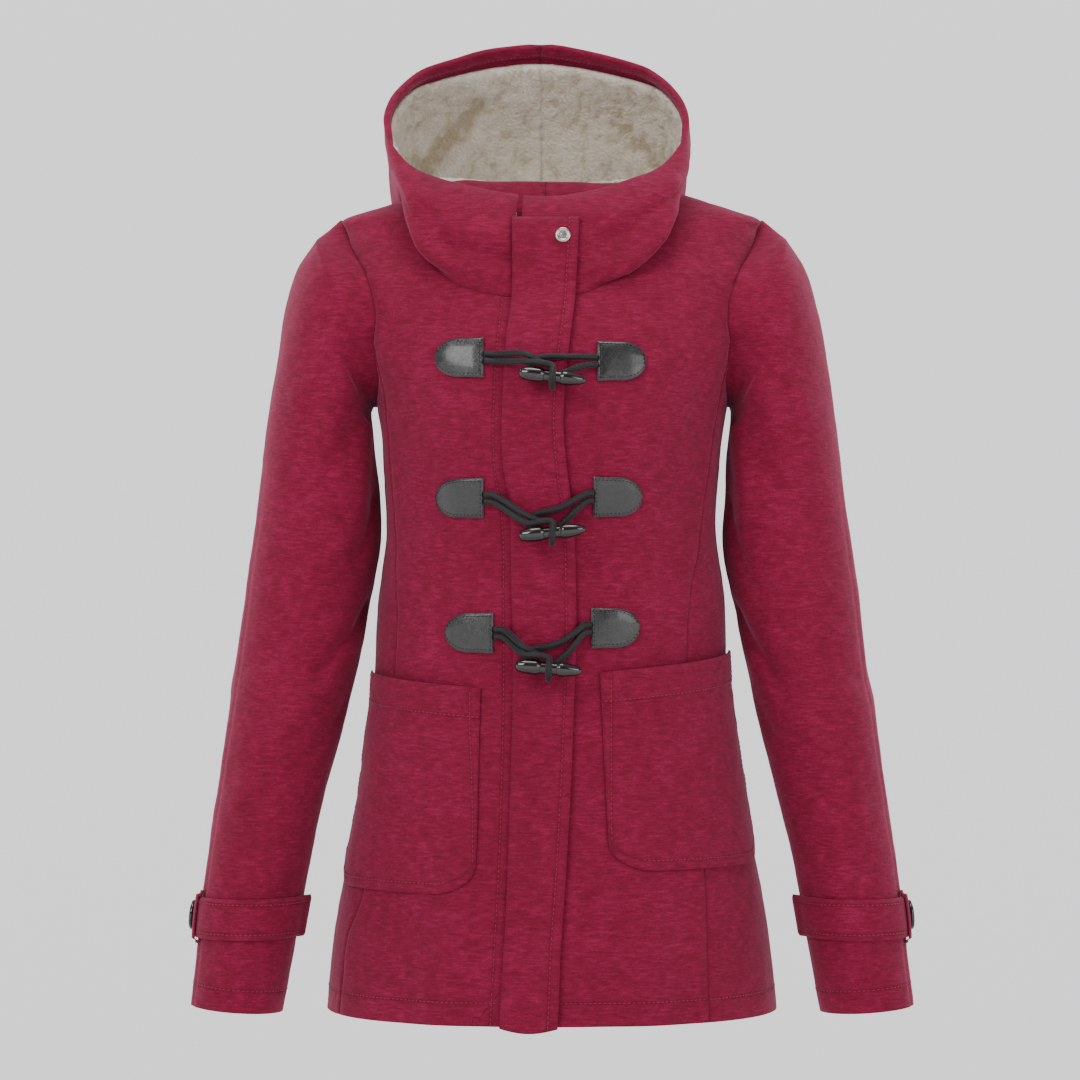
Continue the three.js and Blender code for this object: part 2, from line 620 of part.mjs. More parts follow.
function crossing([a, b, c], x, z) {
  const area = (b.x - a.x) * (c.z - a.z) - (c.x - a.x) * (b.z - a.z);
  const u = ((x - a.x) * (c.z - a.z) - (c.x - a.x) * (z - a.z)) / area;
  const v = ((b.x - a.x) * (z - a.z) - (x - a.x) * (b.z - a.z)) / area;
  return u >= 0 && v >= 0 && u + v <= 1 ? a.y + u * (b.y - a.y) + v * (c.y - a.y) : null;
}

// Y of the foremost face at x and z; beside a seam's gap it is that of the cloth just above or below
function frontY(x, z) {
  for (const height of [z, z + 1.5, z - 1.5, z + 4, z - 4]) {
    const hits = frontFaces.map((face) => crossing(face, x, height)).filter((y) => y !== null);
    if (hits.length > 0) return Math.min(...hits);
  }
  return -body.front(z);
}
const onFrontFace = (x, z, out) => vector(x, frontY(x, z) - out, z);

const PLACKET_THICK = 3; // the band is made of doubled cloth
const PLACKET_LAID = 1.8; // under the band, where the fronts curve most
const PLACKET_TOP = -11;
const PLACKET_BOTTOM = -673;
const PLACKET_ROWS = 28;
const PLACKET_COLUMNS = 4;

function placketGeometry() {
  const grid = (out) => steps(PLACKET_ROWS).map((v) => steps(PLACKET_COLUMNS).map((u) => {
    const bow = v === 0 ? 4 * Math.sin(Math.PI * u) : 0;
    const z = mix(PLACKET_BOTTOM, PLACKET_TOP, v);
    return onFrontFace(mix(placket.seam(z), placket.free(z), u), Math.max(z, HEM + 1), out).setZ(z - bow);
  }));
  return wall(grid(PLACKET_LAID + PLACKET_THICK), grid(PLACKET_LAID));
}

// Patch pockets: the edge next to the placket, the mouth and the foot, and the rounded corner's radius
const POCKETS = {
  right: { inner: 58, low: 62, top: -398, topSide: -387, bottom: -566, corner: 24 },
  left: { inner: 39, low: 47, top: -385, topSide: -370, bottom: -547, corner: 24 },
};
const POCKET_SIDE = 84; // angle of the edge at the side seam
const POCKET_COLUMNS = 9;
const POCKET_ROWS = 9;

function pocketGeometry(side) {
  const size = POCKETS[side];
  const sign = side === 'right' ? -1 : 1;
  const place = (u, v) => {
    const width = 130;
    const edge = Math.min(u, 1 - u) * width;
    const rise = edge < size.corner ? size.corner - Math.sqrt(size.corner ** 2 - (size.corner - edge) ** 2) : 0;
    const z = mix(size.bottom + rise, mix(size.top, size.topSide, u), v);
    const [near] = onFront(mix(size.low, size.inner, (z - size.bottom) / (size.top - size.bottom)), z);
    return [sign * mix(near, POCKET_SIDE, u), z];
  };
  const stand = (u, v) => {
    const belly = 2.5 * Math.sin(Math.PI * u) * Math.sin(Math.PI * v);
    const mouth = 5.5 * v ** 5 * Math.sin(Math.PI * Math.min(0.05 + 0.9 * u, 1));
    return LAID_ON + 0.3 + belly + mouth;
  };
  const across = steps(POCKET_COLUMNS).map((t) => (1 - Math.cos(Math.PI * t)) / 2);
  const grid = (out) => steps(POCKET_ROWS).map((v) => across.map((u) => onBody(place(u, v), stand(u, v) + out)));
  return wall(grid(CLOTH), grid(0));
}

// Closures, from the top: middles of the leather tabs and of the toggle in x and z, and the toggle's tilt
const TAB = { width: 40, height: 33, thickness: 2.2 };
const TOGGLE_OUT = 17.6; // middle of a toggle in front of the placket's face
const WAIST = 5; // radius of the toggle's groove
const CLOSURES = [
  { name: 'top', tabRight: [-76, -128], tabLeft: [57, -131], toggle: [0, -145], tilt: 7 },
  { name: 'middle', tabRight: [-76, -243], tabLeft: [54, -242], toggle: [0, -271], tilt: -6 },
  { name: 'low', tabRight: [-68, -353], tabLeft: [52, -349], toggle: [-3, -381], tilt: 5 },
];

function tabGeometry([x, z], away) {
  const half = (u) => (u < 0.5 ? 1 : Math.max(Math.sqrt(1 - ((u - 0.5) / 0.5) ** 2), 0.22)) * (TAB.height / 2);
  const across = [0, 0.25, 0.5, 0.68, 0.82, 0.93, 1];
  const grid = (out) => steps(4).map((v) => across.map((u) => {
    const height = z + mix(-half(u), half(u), v);
    return onFrontFace(x + away * (u - 0.5) * TAB.width, height, out);
  }));
  return wall(grid(LAID_ON + TAB.thickness), grid(LAID_ON));
}

// Radius of a toggle along its length: blunt at one end, waisted where the cord holds it, tapered to the other
const TOGGLE_PROFILE = [[-27, 0], [-26.4, 2.6], [-24.5, 4.6], [-19, 5.9], [-10, 6.3], [-6.5, WAIST], [6.5, WAIST],
  [10, 6.1], [17, 5.2], [23, 4], [26.4, 2.4], [27.4, 0]];

function toggleGeometry() {
  const profile = TOGGLE_PROFILE.map(([along, radius]) => new THREE.Vector2(radius, along));
  return new THREE.LatheGeometry(profile, 12).rotateZ(-Math.PI / 2);
}

// Y of the placket's outer face
const placketY = (x, z) => frontY(x, z) - PLACKET_LAID - PLACKET_THICK;

function cordGeometry(points, count) {
  const path = new THREE.CatmullRomCurve3(points, false, 'centripetal');
  const section = new THREE.Shape().absarc(0, 0, CORD / 2, 0, 2 * Math.PI);
  return new THREE.ExtrudeGeometry(section, { steps: count, curveSegments: 4, extrudePath: path });
}

// The doubled cord from the right tab, led round the toggle's waist
function toggleCordGeometry({ tabRight, toggle, tilt }) {
  const edge = tabRight[0] + TAB.width / 2 + 0.4;
  const [x, z] = toggle;
  const axisY = placketY(x, z) - TOGGLE_OUT;
  const turn = WAIST + CORD / 2 + 1.3;
  const lift = 10.2;
  const back = (px) => z - (px - x) * Math.tan(radians(tilt));
  const onTab = (px, pz, out) => vector(px, frontY(px, pz) - out, pz);
  const [upper, lower] = [tabRight[1] + CORD * 0.56, tabRight[1] - CORD * 0.56];
  const away = vector(x - 20, placketY(x - 20, z) - 13, back(x - 20) + lift + 2);
  const points = [
    onTab(edge, upper, 3.6),
    onTab(edge + 8, upper - 0.5, 4.2),
    away.clone().setZ(away.z + 3.4),
    vector(x - 9, axisY + 3.6, back(x - 9) + lift),
    vector(x, axisY + 3.4, z + turn - 0.7),
    vector(x, axisY + turn, z),
    vector(x, axisY, z - turn),
    vector(x, axisY - turn, z),
    vector(x, axisY - 2.8, z + turn - 0.3),
    vector(x - 9, axisY - 2.4, back(x - 9) + lift),
    away.clone().setZ(away.z - 2.6).setY(away.y - 3),
    onTab(edge + 8, lower - 0.5, 4.2),
    onTab(edge, lower, 3.6),
  ];
  return cordGeometry(points, 32);
}

// The loop from the left tab, which lies on the placket behind the toggle
function loopCordGeometry({ tabLeft, toggle }) {
  const edge = tabLeft[0] - TAB.width / 2 - 0.4;
  const end = toggle[0] - 17;
  const [upper, lower] = [tabLeft[1] + CORD * 0.56, tabLeft[1] - CORD * 0.56];
  const low = toggle[1] + 1;
  const high = Math.min(toggle[1] + 17, upper);
  const onCoat = (px, pz, out) => vector(px, frontY(px, pz) - out, pz);
  const onBand = (px, pz) => vector(px, placketY(px, pz) - CORD / 2 - 1, pz);
  const points = [
    onCoat(edge, upper, 3.6),
    onCoat(edge - 5, upper, 6),
    onBand(20, mix(upper, high, 0.3)),
    onBand(10, mix(upper, high, 0.7)),
    onBand(-4, high),
    onBand(end + 4, high - 2),
    onBand(end, (high + low) / 2),
    onBand(end + 4, low + 1),
    onBand(-2, low),
    onBand(10, mix(low, lower, 0.3)),
    onBand(20, mix(low, lower, 0.7)),
    onCoat(edge - 5, lower - 0.5, 6),
    onCoat(edge, lower, 3.6),
  ];
  return cordGeometry(points, 20);
}

// Cuff straps, each held down by a narrow loop and buttoned on the sleeve's outer side
const STRAP = { from: -34, to: 184, top: 13.78, bottom: 14.6, thickness: 2.6 };
const STRAP_LOOP = { from: 14, to: 23, top: 13.66, bottom: 14.72 };
const BUTTON_TURN = -6;

function strapGeometry(side) {
  const place = (u, v) => [mix(STRAP.bottom, STRAP.top, v), mix(STRAP.from, STRAP.to, u)];
  const rise = (u) => LAID_ON + 0.2 + 3.5 * THREE.MathUtils.smoothstep(u, 0.9, 1);
  const grid = (out) => steps(2).map((v) => steps(18).map((u) => onSleeve(side, ...place(u, v), rise(u) + out)));
  return wall(onSide(side, grid(STRAP.thickness)), onSide(side, grid(0)));
}

function strapLoopGeometry(side) {
  const over = LAID_ON + 0.2 + STRAP.thickness + 0.7;
  const along = [[STRAP_LOOP.top, LAID_ON], [STRAP.top - 0.05, LAID_ON + 0.6], [STRAP.top - 0.035, over],
    [(STRAP.top + STRAP.bottom) / 2, over], [STRAP.bottom + 0.035, over], [STRAP.bottom + 0.05, LAID_ON + 0.6],
    [STRAP_LOOP.bottom, LAID_ON]];
  const grid = (out) => along.map(([row, rise]) => steps(2).map((u) => (
    onSleeve(side, row, mix(STRAP_LOOP.from, STRAP_LOOP.to, u), rise + out))));
  return wall(onSide(side, grid(1.6)), onSide(side, grid(0)));
}

// A round button or cap, turned about Y, with its face towards -Y
function discGeometry({ diameter, thickness }, rim) {
  const radius = diameter / 2;
  const profile = [[0, 0], [radius - 0.6, 0], [radius, 0.6], [radius, thickness - 0.8], [radius - rim, thickness],
    [radius - 2 * rim, thickness - rim / 2], [0, thickness - rim / 3]];
  const points = profile.map(([r, along]) => new THREE.Vector2(r, -along));
  return new THREE.LatheGeometry(points.reverse(), 14);
}

// Colours and finishes
const finish = (color, roughness, metalness = 0) => new THREE.MeshStandardMaterial({ color, roughness, metalness });
const coating = finish(0x96143a, 0.9);
const fleece = finish(0xeee7d8, 1);
const leather = finish(0x1d1b1d, 0.35);
const horn = finish(0x151214, 0.15);
const cordFinish = finish(0x111113, 0.7);
const metal = finish(0xbdb6ae, 0.3, 1);

const coat = new THREE.Group();
function add(name, geometry, material) {
  const mesh = new THREE.Mesh(geometry, material);
  mesh.name = name;
  coat.add(mesh);
  return mesh;
}

for (const side of ['right', 'left']) {
  add(`front_${side}`, panelGeometry(fronts[side]), coating);
  add(`side_front_${side}`, sideFrontPanel(side), coating);
  add(`sleeve_${side}`, sleeveGeometry(side), coating);
  add(`hood_${side}`, hoodGeometry(side), coating);
  add(`hood_lining_${side}`, hoodLiningGeometry(side), fleece);
  add(`pocket_${side}`, pocketGeometry(side), coating);
  add(`cuff_strap_${side}`, strapGeometry(side), coating);
  add(`strap_loop_${side}`, strapLoopGeometry(side), coating);
  const button = add(`cuff_button_${side}`, discGeometry(BUTTON, 1.6), horn);
  const row = (STRAP.top + STRAP.bottom) / 2;
  const seat = onSleeve(side, row, BUTTON_TURN, LAID_ON + STRAP.thickness + 0.9);
  const facing = sleeveNormal(row, BUTTON_TURN);
  if (side === 'right') [seat, facing].forEach((v) => v.setX(-v.x));
  button.position.copy(seat);
  button.quaternion.setFromUnitVectors(vector(0, -1, 0), facing);
}
add('back_panel', backPanel(), coating);
add('placket', placketGeometry(), coating);

for (const closure of CLOSURES) {
  add(`tab_right_${closure.name}`, tabGeometry(closure.tabRight, -1), leather);
  add(`tab_left_${closure.name}`, tabGeometry(closure.tabLeft, 1), leather);
  add(`toggle_cord_${closure.name}`, toggleCordGeometry(closure), cordFinish);
  add(`loop_cord_${closure.name}`, loopCordGeometry(closure), cordFinish);
  const toggle = add(`toggle_${closure.name}`, toggleGeometry(), horn);
  const [x, z] = closure.toggle;
  toggle.position.set(x, placketY(x, z) - TOGGLE_OUT, z);
  toggle.rotation.y = radians(closure.tilt);
}

const snapPlace = { x: 9, z: -27 };
const SNAP_LAID = 0.25; // under the cap, where the band bends away from it
const snap = add('snap_cap', discGeometry(SNAP, 0.8), metal);
const lean = (placketY(snapPlace.x, snapPlace.z + 7) - placketY(snapPlace.x, snapPlace.z - 7)) / 14;
snap.position.set(snapPlace.x, placketY(snapPlace.x, snapPlace.z) - SNAP_LAID, snapPlace.z);
snap.rotation.x = -Math.atan(lean);

export default coat;
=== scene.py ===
"""Looks of a hooded duffle coat in its worn form.

Sizes are in millimetres here and go into the meshes in metres.
"""

import math

import bpy
import numpy as np
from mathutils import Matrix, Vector
from mathutils.bvhtree import BVHTree


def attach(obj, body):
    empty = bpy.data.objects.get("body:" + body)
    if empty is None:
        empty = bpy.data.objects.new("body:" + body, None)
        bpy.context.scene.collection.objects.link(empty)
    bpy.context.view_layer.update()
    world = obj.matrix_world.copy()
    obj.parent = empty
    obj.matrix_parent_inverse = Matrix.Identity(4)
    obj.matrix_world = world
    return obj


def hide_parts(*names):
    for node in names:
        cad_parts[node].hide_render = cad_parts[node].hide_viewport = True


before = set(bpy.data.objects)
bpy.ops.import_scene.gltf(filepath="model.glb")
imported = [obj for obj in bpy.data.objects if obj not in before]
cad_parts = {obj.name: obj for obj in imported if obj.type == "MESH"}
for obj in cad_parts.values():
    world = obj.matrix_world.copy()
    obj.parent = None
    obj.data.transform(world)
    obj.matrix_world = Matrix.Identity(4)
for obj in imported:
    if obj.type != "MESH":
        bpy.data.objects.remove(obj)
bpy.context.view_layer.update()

# Camera: level, in front of the coat
CAMERA_X = -9.8
CAMERA_Z = -277.1
CAMERA_DISTANCE = 3200
camera_data = bpy.data.cameras.new("camera")
camera_data.sensor_width = 36
camera_data.lens = 125.5
camera_data.clip_end = 100
camera = bpy.data.objects.new("camera", camera_data)
camera.location = (CAMERA_X / 1000, -CAMERA_DISTANCE / 1000, CAMERA_Z / 1000)
camera.rotation_euler = (math.pi / 2, 0, 0)
bpy.context.scene.collection.objects.link(camera)
bpy.context.scene.camera = camera

# The same driving sizes as the solids have
CLOTH = 2.0
LINING_GAP = 2.0
SEAM_GAP = 0.3
LAID_ON = 0.9
HEM = -672
ARMPIT = -165
NECK_CENTRE = -7
RIM_CENTRE = -13
RIM_TURN = 11
CORD = 5.2
FINE = 6  # samples of a seam line for each segment that its solid has
HEM_LINE = 19  # the sewn line above a hem
TOP_STITCH = 8.5  # the sewn lines beside the placket's edge and round the pockets
POCKET_HEM = 24
RIM_STITCH = 3.2
STRAP_STITCH = 5
TAB_STITCH = 2.8
NO_LINE = 50.0  # the distance where no sewn line is near
SHOULDER = 90  # turn of the side seams and the shoulders round the body, in degrees from the front
NECK_TOP = {"right": 16, "left": 20.5}  # where the neck seam crosses the shoulders
SIDE_ROWS, ARMHOLE_LOW, ARMHOLE_HIGH, ARMHOLE_BACK = 12, 4, 6, 10
NECK_RIGHT, NECK_LEFT, NECK_BACK = 6, 7, 10
FRONT_COLUMNS, SIDE_COLUMNS = 7, 3


# Helpers
def table(columns, rows):
    """Smooth functions of the first column, one for each column of the table."""
    data = np.array(rows, float)
    at = data[:, 0]
    last = len(at) - 1
    before = np.maximum(np.arange(last + 1) - 1, 0)
    after = np.minimum(np.arange(last + 1) + 1, last)
    slopes = (data[after] - data[before]) / (at[after] - at[before])[:, None]

    def value(t, c):
        t = np.asarray(t, float)
        i = np.clip(np.searchsorted(at, t) - 1, 0, last - 1)
        span = at[i + 1] - at[i]
        u = np.clip((t - at[i]) / span, 0, 1)
        low = data[i, c]
        rise = data[i + 1, c] - low
        start = slopes[i, c] * span
        end = slopes[i + 1, c] * span
        return low + u * (start + u * (3 * rise - 2 * start - end + u * (start + end - 2 * rise)))

    return {name: (lambda t, c=c: value(t, c)) for c, name in enumerate(columns)}


def signed_power(value, power):
    return np.sign(value) * np.abs(value) ** power


def unit(v):
    return v / np.maximum(np.linalg.norm(v, axis=-1, keepdims=True), 1e-9)


def smooth(t, low, high):
    u = np.clip((t - low) / (high - low), 0, 1)
    return u * u * (3 - 2 * u)


def lattice(i, j, k, seed):
    """Pseudo-random numbers from -1 to 1, one for each whole-number place."""
    h = (i * 374761393 + j * 668265263 + k * 2147483647 + seed * 144665) & 0x7FFFFFFF
    h = ((h ^ (h >> 13)) * 1274126177) & 0x7FFFFFFF
    h = (h ^ (h >> 16)) & 0xFFFF
    return h / 32767.5 - 1


def noise(points, size, seed=0):
    """Smooth noise from -1 to 1 over points, with lumps of that size; size may differ along x, y and z."""
    p = points / np.asarray(size, float)
    base = np.floor(p).astype(np.int64)
    f = p - base
    f = f * f * f * (f * (f * 6 - 15) + 10)
    total = np.zeros(points.shape[:-1])
    for di in (0, 1):
        for dj in (0, 1):
            for dk in (0, 1):
                weight = (
                    (f[..., 0] if di else 1 - f[..., 0])
                    * (f[..., 1] if dj else 1 - f[..., 1])
                    * (f[..., 2] if dk else 1 - f[..., 2])
                )
                total += weight * lattice(base[..., 0] + di, base[..., 1] + dj, base[..., 2] + dk, seed)
    return total


def ridge(points, start, end, width, height):
    """Height of a soft ridge at 2-D points beside the line from start to end; it fades beyond its ends."""
    start = np.array(start, float)
    line = np.array(end, float) - start
    along = np.clip(((points - start) @ line) / (line @ line), 0, 1)
    distance = np.linalg.norm(points - start - along[..., None] * line, axis=-1)
    return height * np.exp(-((distance / width) ** 2))


def crease(points, places, width, height, sharp=0.0):
    """A ridge along several places; a sharp share makes its middle narrower."""
    total = np.zeros(points.shape[:-1])
    for start, end in zip(places, places[1:]):
        wide = np.abs(ridge(points, start, end, width, 1))
        narrow = np.abs(ridge(points, start, end, width * 0.45, 1))
        total = np.maximum(total, (1 - sharp) * wide + sharp * narrow)
    return height * total


# Form of the body
body = table(
    ["z", "half_width", "front", "back", "squareness"],
    [
        [-690, 193, 152, 138, 2.3],
        [-600, 182, 146, 130, 2.3],
        [-500, 164, 138, 120, 2.3],
        [-400, 150, 132, 112, 2.3],
        [-330, 147, 129, 109, 2.3],
        [-275, 140, 130, 110, 2.3],
        [-220, 142, 136, 114, 2.4],
        [-185, 145, 140, 119, 2.5],
        [-130, 156, 132, 119, 2.6],
        [-90, 166, 116, 112, 2.6],
        [-60, 172, 101, 102, 2.6],
        [-35, 174, 84, 88, 2.5],
        [-15, 175.5, 67, 73, 2.5],
        [-5, 176, 57, 63, 2.4],
        [5, 146, 47, 53, 2.3],
        [16, 112, 37, 43, 2.2],
        [24, 88, 30, 36, 2.2],
    ],
)

# Large folds, the same as in the solids, then finer ones: face, places in x and z, width, height, sharpness
BODY_FOLDS = [
    (-1, [(-128, -150), (-96, -250)], 16, -3.5, 0),
    (-1, [(126, -150), (98, -245)], 16, -3.5, 0),
    (-1, [(-120, -300), (-75, -250)], 18, 2.5, 0),
    (-1, [(112, -290), (70, -262)], 18, 2.5, 0),
    (-1, [(-95, -672), (-80, -560)], 26, 4, 0),
    (-1, [(80, -672), (74, -560)], 24, 3.5, 0),
    (1, [(-60, -672), (-46, -430)], 30, 6, 0),
    (1, [(64, -672), (50, -430)], 30, 6, 0),
    (1, [(0, -672), (0, -470)], 34, -5, 0),
    (1, [(-128, -160), (-70, -262)], 18, -4, 0),
    (1, [(128, -160), (72, -258)], 18, -4, 0),
]
BODY_CREASES = [
    # front: from the armholes to the chest and waist
    (-1, [(-143, -112), (-122, -150), (-104, -205)], 8, 1.6, 0.3),
    (-1, [(-150, -140), (-132, -185), (-120, -240)], 7, -1.5, 0.3),
    (-1, [(140, -108), (118, -150), (104, -200)], 8, 1.5, 0.3),
    (-1, [(146, -140), (128, -190), (118, -245)], 7, -1.5, 0.3),
    (-1, [(-118, -265), (-86, -282), (-60, -280)], 8, -1.4, 0.2),
    (-1, [(-124, -320), (-96, -330), (-66, -322)], 9, 1.3, 0.2),
    (-1, [(116, -270), (92, -284), (66, -280)], 8, -1.4, 0.2),
    (-1, [(118, -326), (94, -336), (70, -328)], 9, 1.2, 0.2),
    # front: small pulls at the tabs and beside the placket
    (-1, [(-98, -120), (-112, -104), (-126, -92)], 7, 1.0, 0.3),
    (-1, [(-50, -160), (-58, -200), (-55, -232)], 9, -1.1, 0.1),
    (-1, [(40, -160), (50, -196), (46, -230)], 9, -1.1, 0.1),
    (-1, [(-52, -292), (-60, -320), (-56, -345)], 8, -1.0, 0.1),
    (-1, [(30, -290), (38, -316), (36, -340)], 8, -1.0, 0.1),
    # front: the skirt below the pockets
    (-1, [(-122, -672), (-118, -600)], 14, -2.2, 0),
    (-1, [(-62, -672), (-66, -590)], 14, -1.8, 0),
    (-1, [(42, -672), (40, -575)], 16, -2.0, 0),
    (-1, [(112, -672), (108, -590)], 14, -2.2, 0),
    # back: yoke pulls, waist and skirt
    (1, [(-120, -100), (-70, -80), (-20, -76)], 12, 1.8, 0.2),
    (1, [(120, -100), (72, -82), (24, -78)], 12, 1.8, 0.2),
    (1, [(-100, -300), (-40, -318), (20, -310)], 13, 1.8, 0.2),
    (1, [(102, -282), (50, -296), (-6, -288)], 12, -1.9, 0.2),
    (1, [(-86, -240), (-30, -256), (30, -250)], 12, -1.6, 0.2),
    (1, [(-20, -672), (-26, -520)], 14, 2.2, 0),
    (1, [(104, -672), (92, -500)], 18, -2.6, 0),
    (1, [(-106, -672), (-92, -500)], 18, -2.6, 0),
]


def body_point(places):
    angle, z = np.radians(places[..., 0]), places[..., 1]
    power = 2 / body["squareness"](z)
    forward = np.cos(angle)
    depth = np.where(forward > 0, body["front"](z), body["back"](z))
    x = body["half_width"](z) * signed_power(np.sin(angle), power)
    return np.stack([x, -depth * signed_power(forward, power), z], -1)


def body_normal(places):
    turn = np.array([2.0, 0])
    rise = np.array([0, 1.0])
    along = body_point(places + turn) - body_point(places - turn)
    up = body_point(places + rise) - body_point(places - rise)
    return unit(np.cross(along, up))


def body_fold(points, fine=True):
    here = points[..., [0, 2]]
    total = np.zeros(points.shape[:-1])
    for face, places, width, height, sharp in BODY_FOLDS + (BODY_CREASES if fine else []):
        share = smooth(face * points[..., 1], 0, 12)
        total += share * crease(here, places, width, height, sharp)
    return total


def on_body(places, out=0.0, fine=True):
    points = body_point(places)
    rise = body_fold(points, fine) + out
    return points + body_normal(places) * rise[..., None]


def on_front(x, z):
    share = np.minimum(np.abs(x) / body["half_width"](z), 1)
    turn = np.degrees(np.arcsin(share ** (body["squareness"](z) / 2)))
    return np.stack([np.sign(x) * turn, z + 0 * share], -1)


def on_back(x, z):
    place = on_front(x, z)
    return np.stack([180 - place[..., 0], place[..., 1]], -1)


def spline(points, t):
    """Uniform Catmull-Rom curve through points (count, n), with its end points doubled, at t from 0 to 1."""
    last = len(points) - 1
    p = np.asarray(t, float) * last
    i = np.clip(np.floor(p).astype(int), 0, last - 1)
    w = (p - i)[:, None]
    at = [points[np.clip(i + k, 0, last)] for k in (-1, 0, 1, 2)]
    return catmull(*at, w)


def catmull(a, b, c, d, w):
    start = (c - a) * 0.5
    end = (d - b) * 0.5
    return (2 * b - 2 * c + start + end) * w**3 + (-3 * b + 3 * c - 2 * start - end) * w**2 + start * w + b


def line(places, count):
    """Places at equal steps over the body along a smooth line; count is in the solids' segments."""
    places = np.array([np.asarray(p, float) for p in places])
    fine = spline(places, np.linspace(0, 1, len(places) * 12 + 1))
    lengths = np.concatenate([[0], np.cumsum(np.linalg.norm(np.diff(body_point(fine), axis=0), axis=1))])
    goal = np.linspace(0, lengths[-1], count * FINE + 1)
    return np.stack([np.interp(goal, lengths, fine[:, c]) for c in (0, 1)], -1)


def joined(*lines):
    return np.concatenate([lines[0], *[points[1:] for points in lines[1:]]])


def mirrored(points):
    return points * np.array([-1.0, 1.0])


def sampled(points, t):
    at = np.linspace(0, 1, len(points))
    return np.stack([np.interp(t, at, points[:, c]) for c in range(points.shape[1])], -1)


def patch(bottom, top, left, right, us, vs):
    """Grid of places between four lines that meet at their ends, at the shares us across and vs up."""
    u, v = us[None, :, None], vs[:, None, None]
    low, high = sampled(bottom, us)[None], sampled(top, us)[None]
    start, end = sampled(left, vs)[:, None], sampled(right, vs)[:, None]
    across = start + (end - start) * u
    up = low + (high - low) * v
    first = bottom[0] + (bottom[-1] - bottom[0]) * u
    last = top[0] + (top[-1] - top[0]) * u
    return across + up - (first + (last - first) * v)


def spaced(count, length, edge=(0.0, 0.5, 1.2, 2.2, 3.6)):
    """Shares from 0 to 1 in even steps, with closer ones at both ends; edge is in the same unit as length."""
    close = np.array(edge) / length
    middle = np.linspace(0, 1, count + 1)
    middle = middle[(middle > close[-1] * 1.3) & (middle < 1 - close[-1] * 1.3)]
    return np.concatenate([close, middle, 1 - close[::-1]])


def grid_normals(grid, round_=False):
    if round_:
        wide = np.concatenate([grid[:, -1:], grid, grid[:, :1]], 1)
        across = wide[:, 2:] - wide[:, :-2]
    else:
        across = np.gradient(grid, axis=1)
    along = np.gradient(grid, axis=0)
    return unit(np.cross(across, along))


def edge_distances(grid):
    """Distances over a grid from its left, right, bottom and top edges."""
    across = np.linalg.norm(np.diff(grid, axis=1), axis=-1)
    along = np.linalg.norm(np.diff(grid, axis=0), axis=-1)
    rows, columns = grid.shape[:2]
    left = np.concatenate([np.zeros((rows, 1)), np.cumsum(across, 1)], 1)
    bottom = np.concatenate([np.zeros((1, columns)), np.cumsum(along, 0)], 0)
    return {"left": left, "right": left[:, -1:] - left, "bottom": bottom, "top": bottom[-1:] - bottom}


def fuzz(points, share=1.0):
    """Unevenness of the cloth between its folds."""
    large = 0.9 * noise(points, 62, 3)
    medium = 0.45 * noise(points, (24, 24, 30), 7)
    return share * (large + medium + 0.16 * noise(points, 9, 11))


def make_object(name, points, faces, material, attributes=None):
    mesh = bpy.data.meshes.new(name)
    points = np.asarray(points, float).reshape(-1, 3) / 1000
    faces = np.asarray(faces)
    mesh.from_pydata(points.tolist(), [], faces.tolist())
    for key, values in (attributes or {}).items():
        layer = mesh.attributes.new(key, "FLOAT", "POINT")
        layer.data.foreach_set("value", np.asarray(values, np.float32).ravel())
    mesh.polygons.foreach_set("use_smooth", [True] * len(mesh.polygons))
    mesh.validate()
    mesh.materials.append(material)
    obj = bpy.data.objects.new(name, mesh)
    bpy.context.scene.collection.objects.link(obj)
    return obj


def wall_faces(rows, columns, round_=False):
    """Quads of a wall between an outer and an inner grid; round_ joins its columns into a ring."""
    across = np.arange(columns if round_ else columns - 1)
    i, j = np.meshgrid(np.arange(rows - 1), across, indexing="ij")
    i, j = i.ravel(), j.ravel()

    def at(layer, a, b):
        return layer * rows * columns + (a % rows) * columns + (b % columns)

    outer = np.stack([at(0, i, j), at(0, i, j + 1), at(0, i + 1, j + 1), at(0, i + 1, j)], 1)
    inner = np.stack([at(1, i, j), at(1, i + 1, j), at(1, i + 1, j + 1), at(1, i, j + 1)], 1)
    j = across
    low, high = 0 * j, 0 * j + rows - 1
    faces = [
        outer,
        inner,
        np.stack([at(0, low, j), at(1, low, j), at(1, low, j + 1), at(0, low, j + 1)], 1),
        np.stack([at(0, high, j), at(0, high, j + 1), at(1, high, j + 1), at(1, high, j)], 1),
    ]
    if not round_:
        i = np.arange(rows - 1)
        first, last = 0 * i, 0 * i + columns - 1
        start = [at(0, i, first), at(0, i + 1, first), at(1, i + 1, first), at(1, i, first)]
        end = [at(0, i, last), at(1, i, last), at(1, i + 1, last), at(0, i + 1, last)]
        faces.append(np.stack(start, 1))
        faces.append(np.stack(end, 1))
    return np.concatenate(faces)


FLAT = {}  # width, length and area in metres of each cloth piece, by name


def make_wall(name, outer, inner, material, attributes=None, round_=False):
    rows, columns = outer.shape[:2]
    points = np.concatenate([outer.reshape(-1, 3), inner.reshape(-1, 3)])
    name = f"{name}_look"
    both = {key: np.concatenate([np.ravel(v), np.ravel(v)]) for key, v in (attributes or {}).items()}
    obj = make_object(name, points, wall_faces(rows, columns, round_), material, both)
    FLAT[obj.name] = flat_size(outer, round_)
    return obj


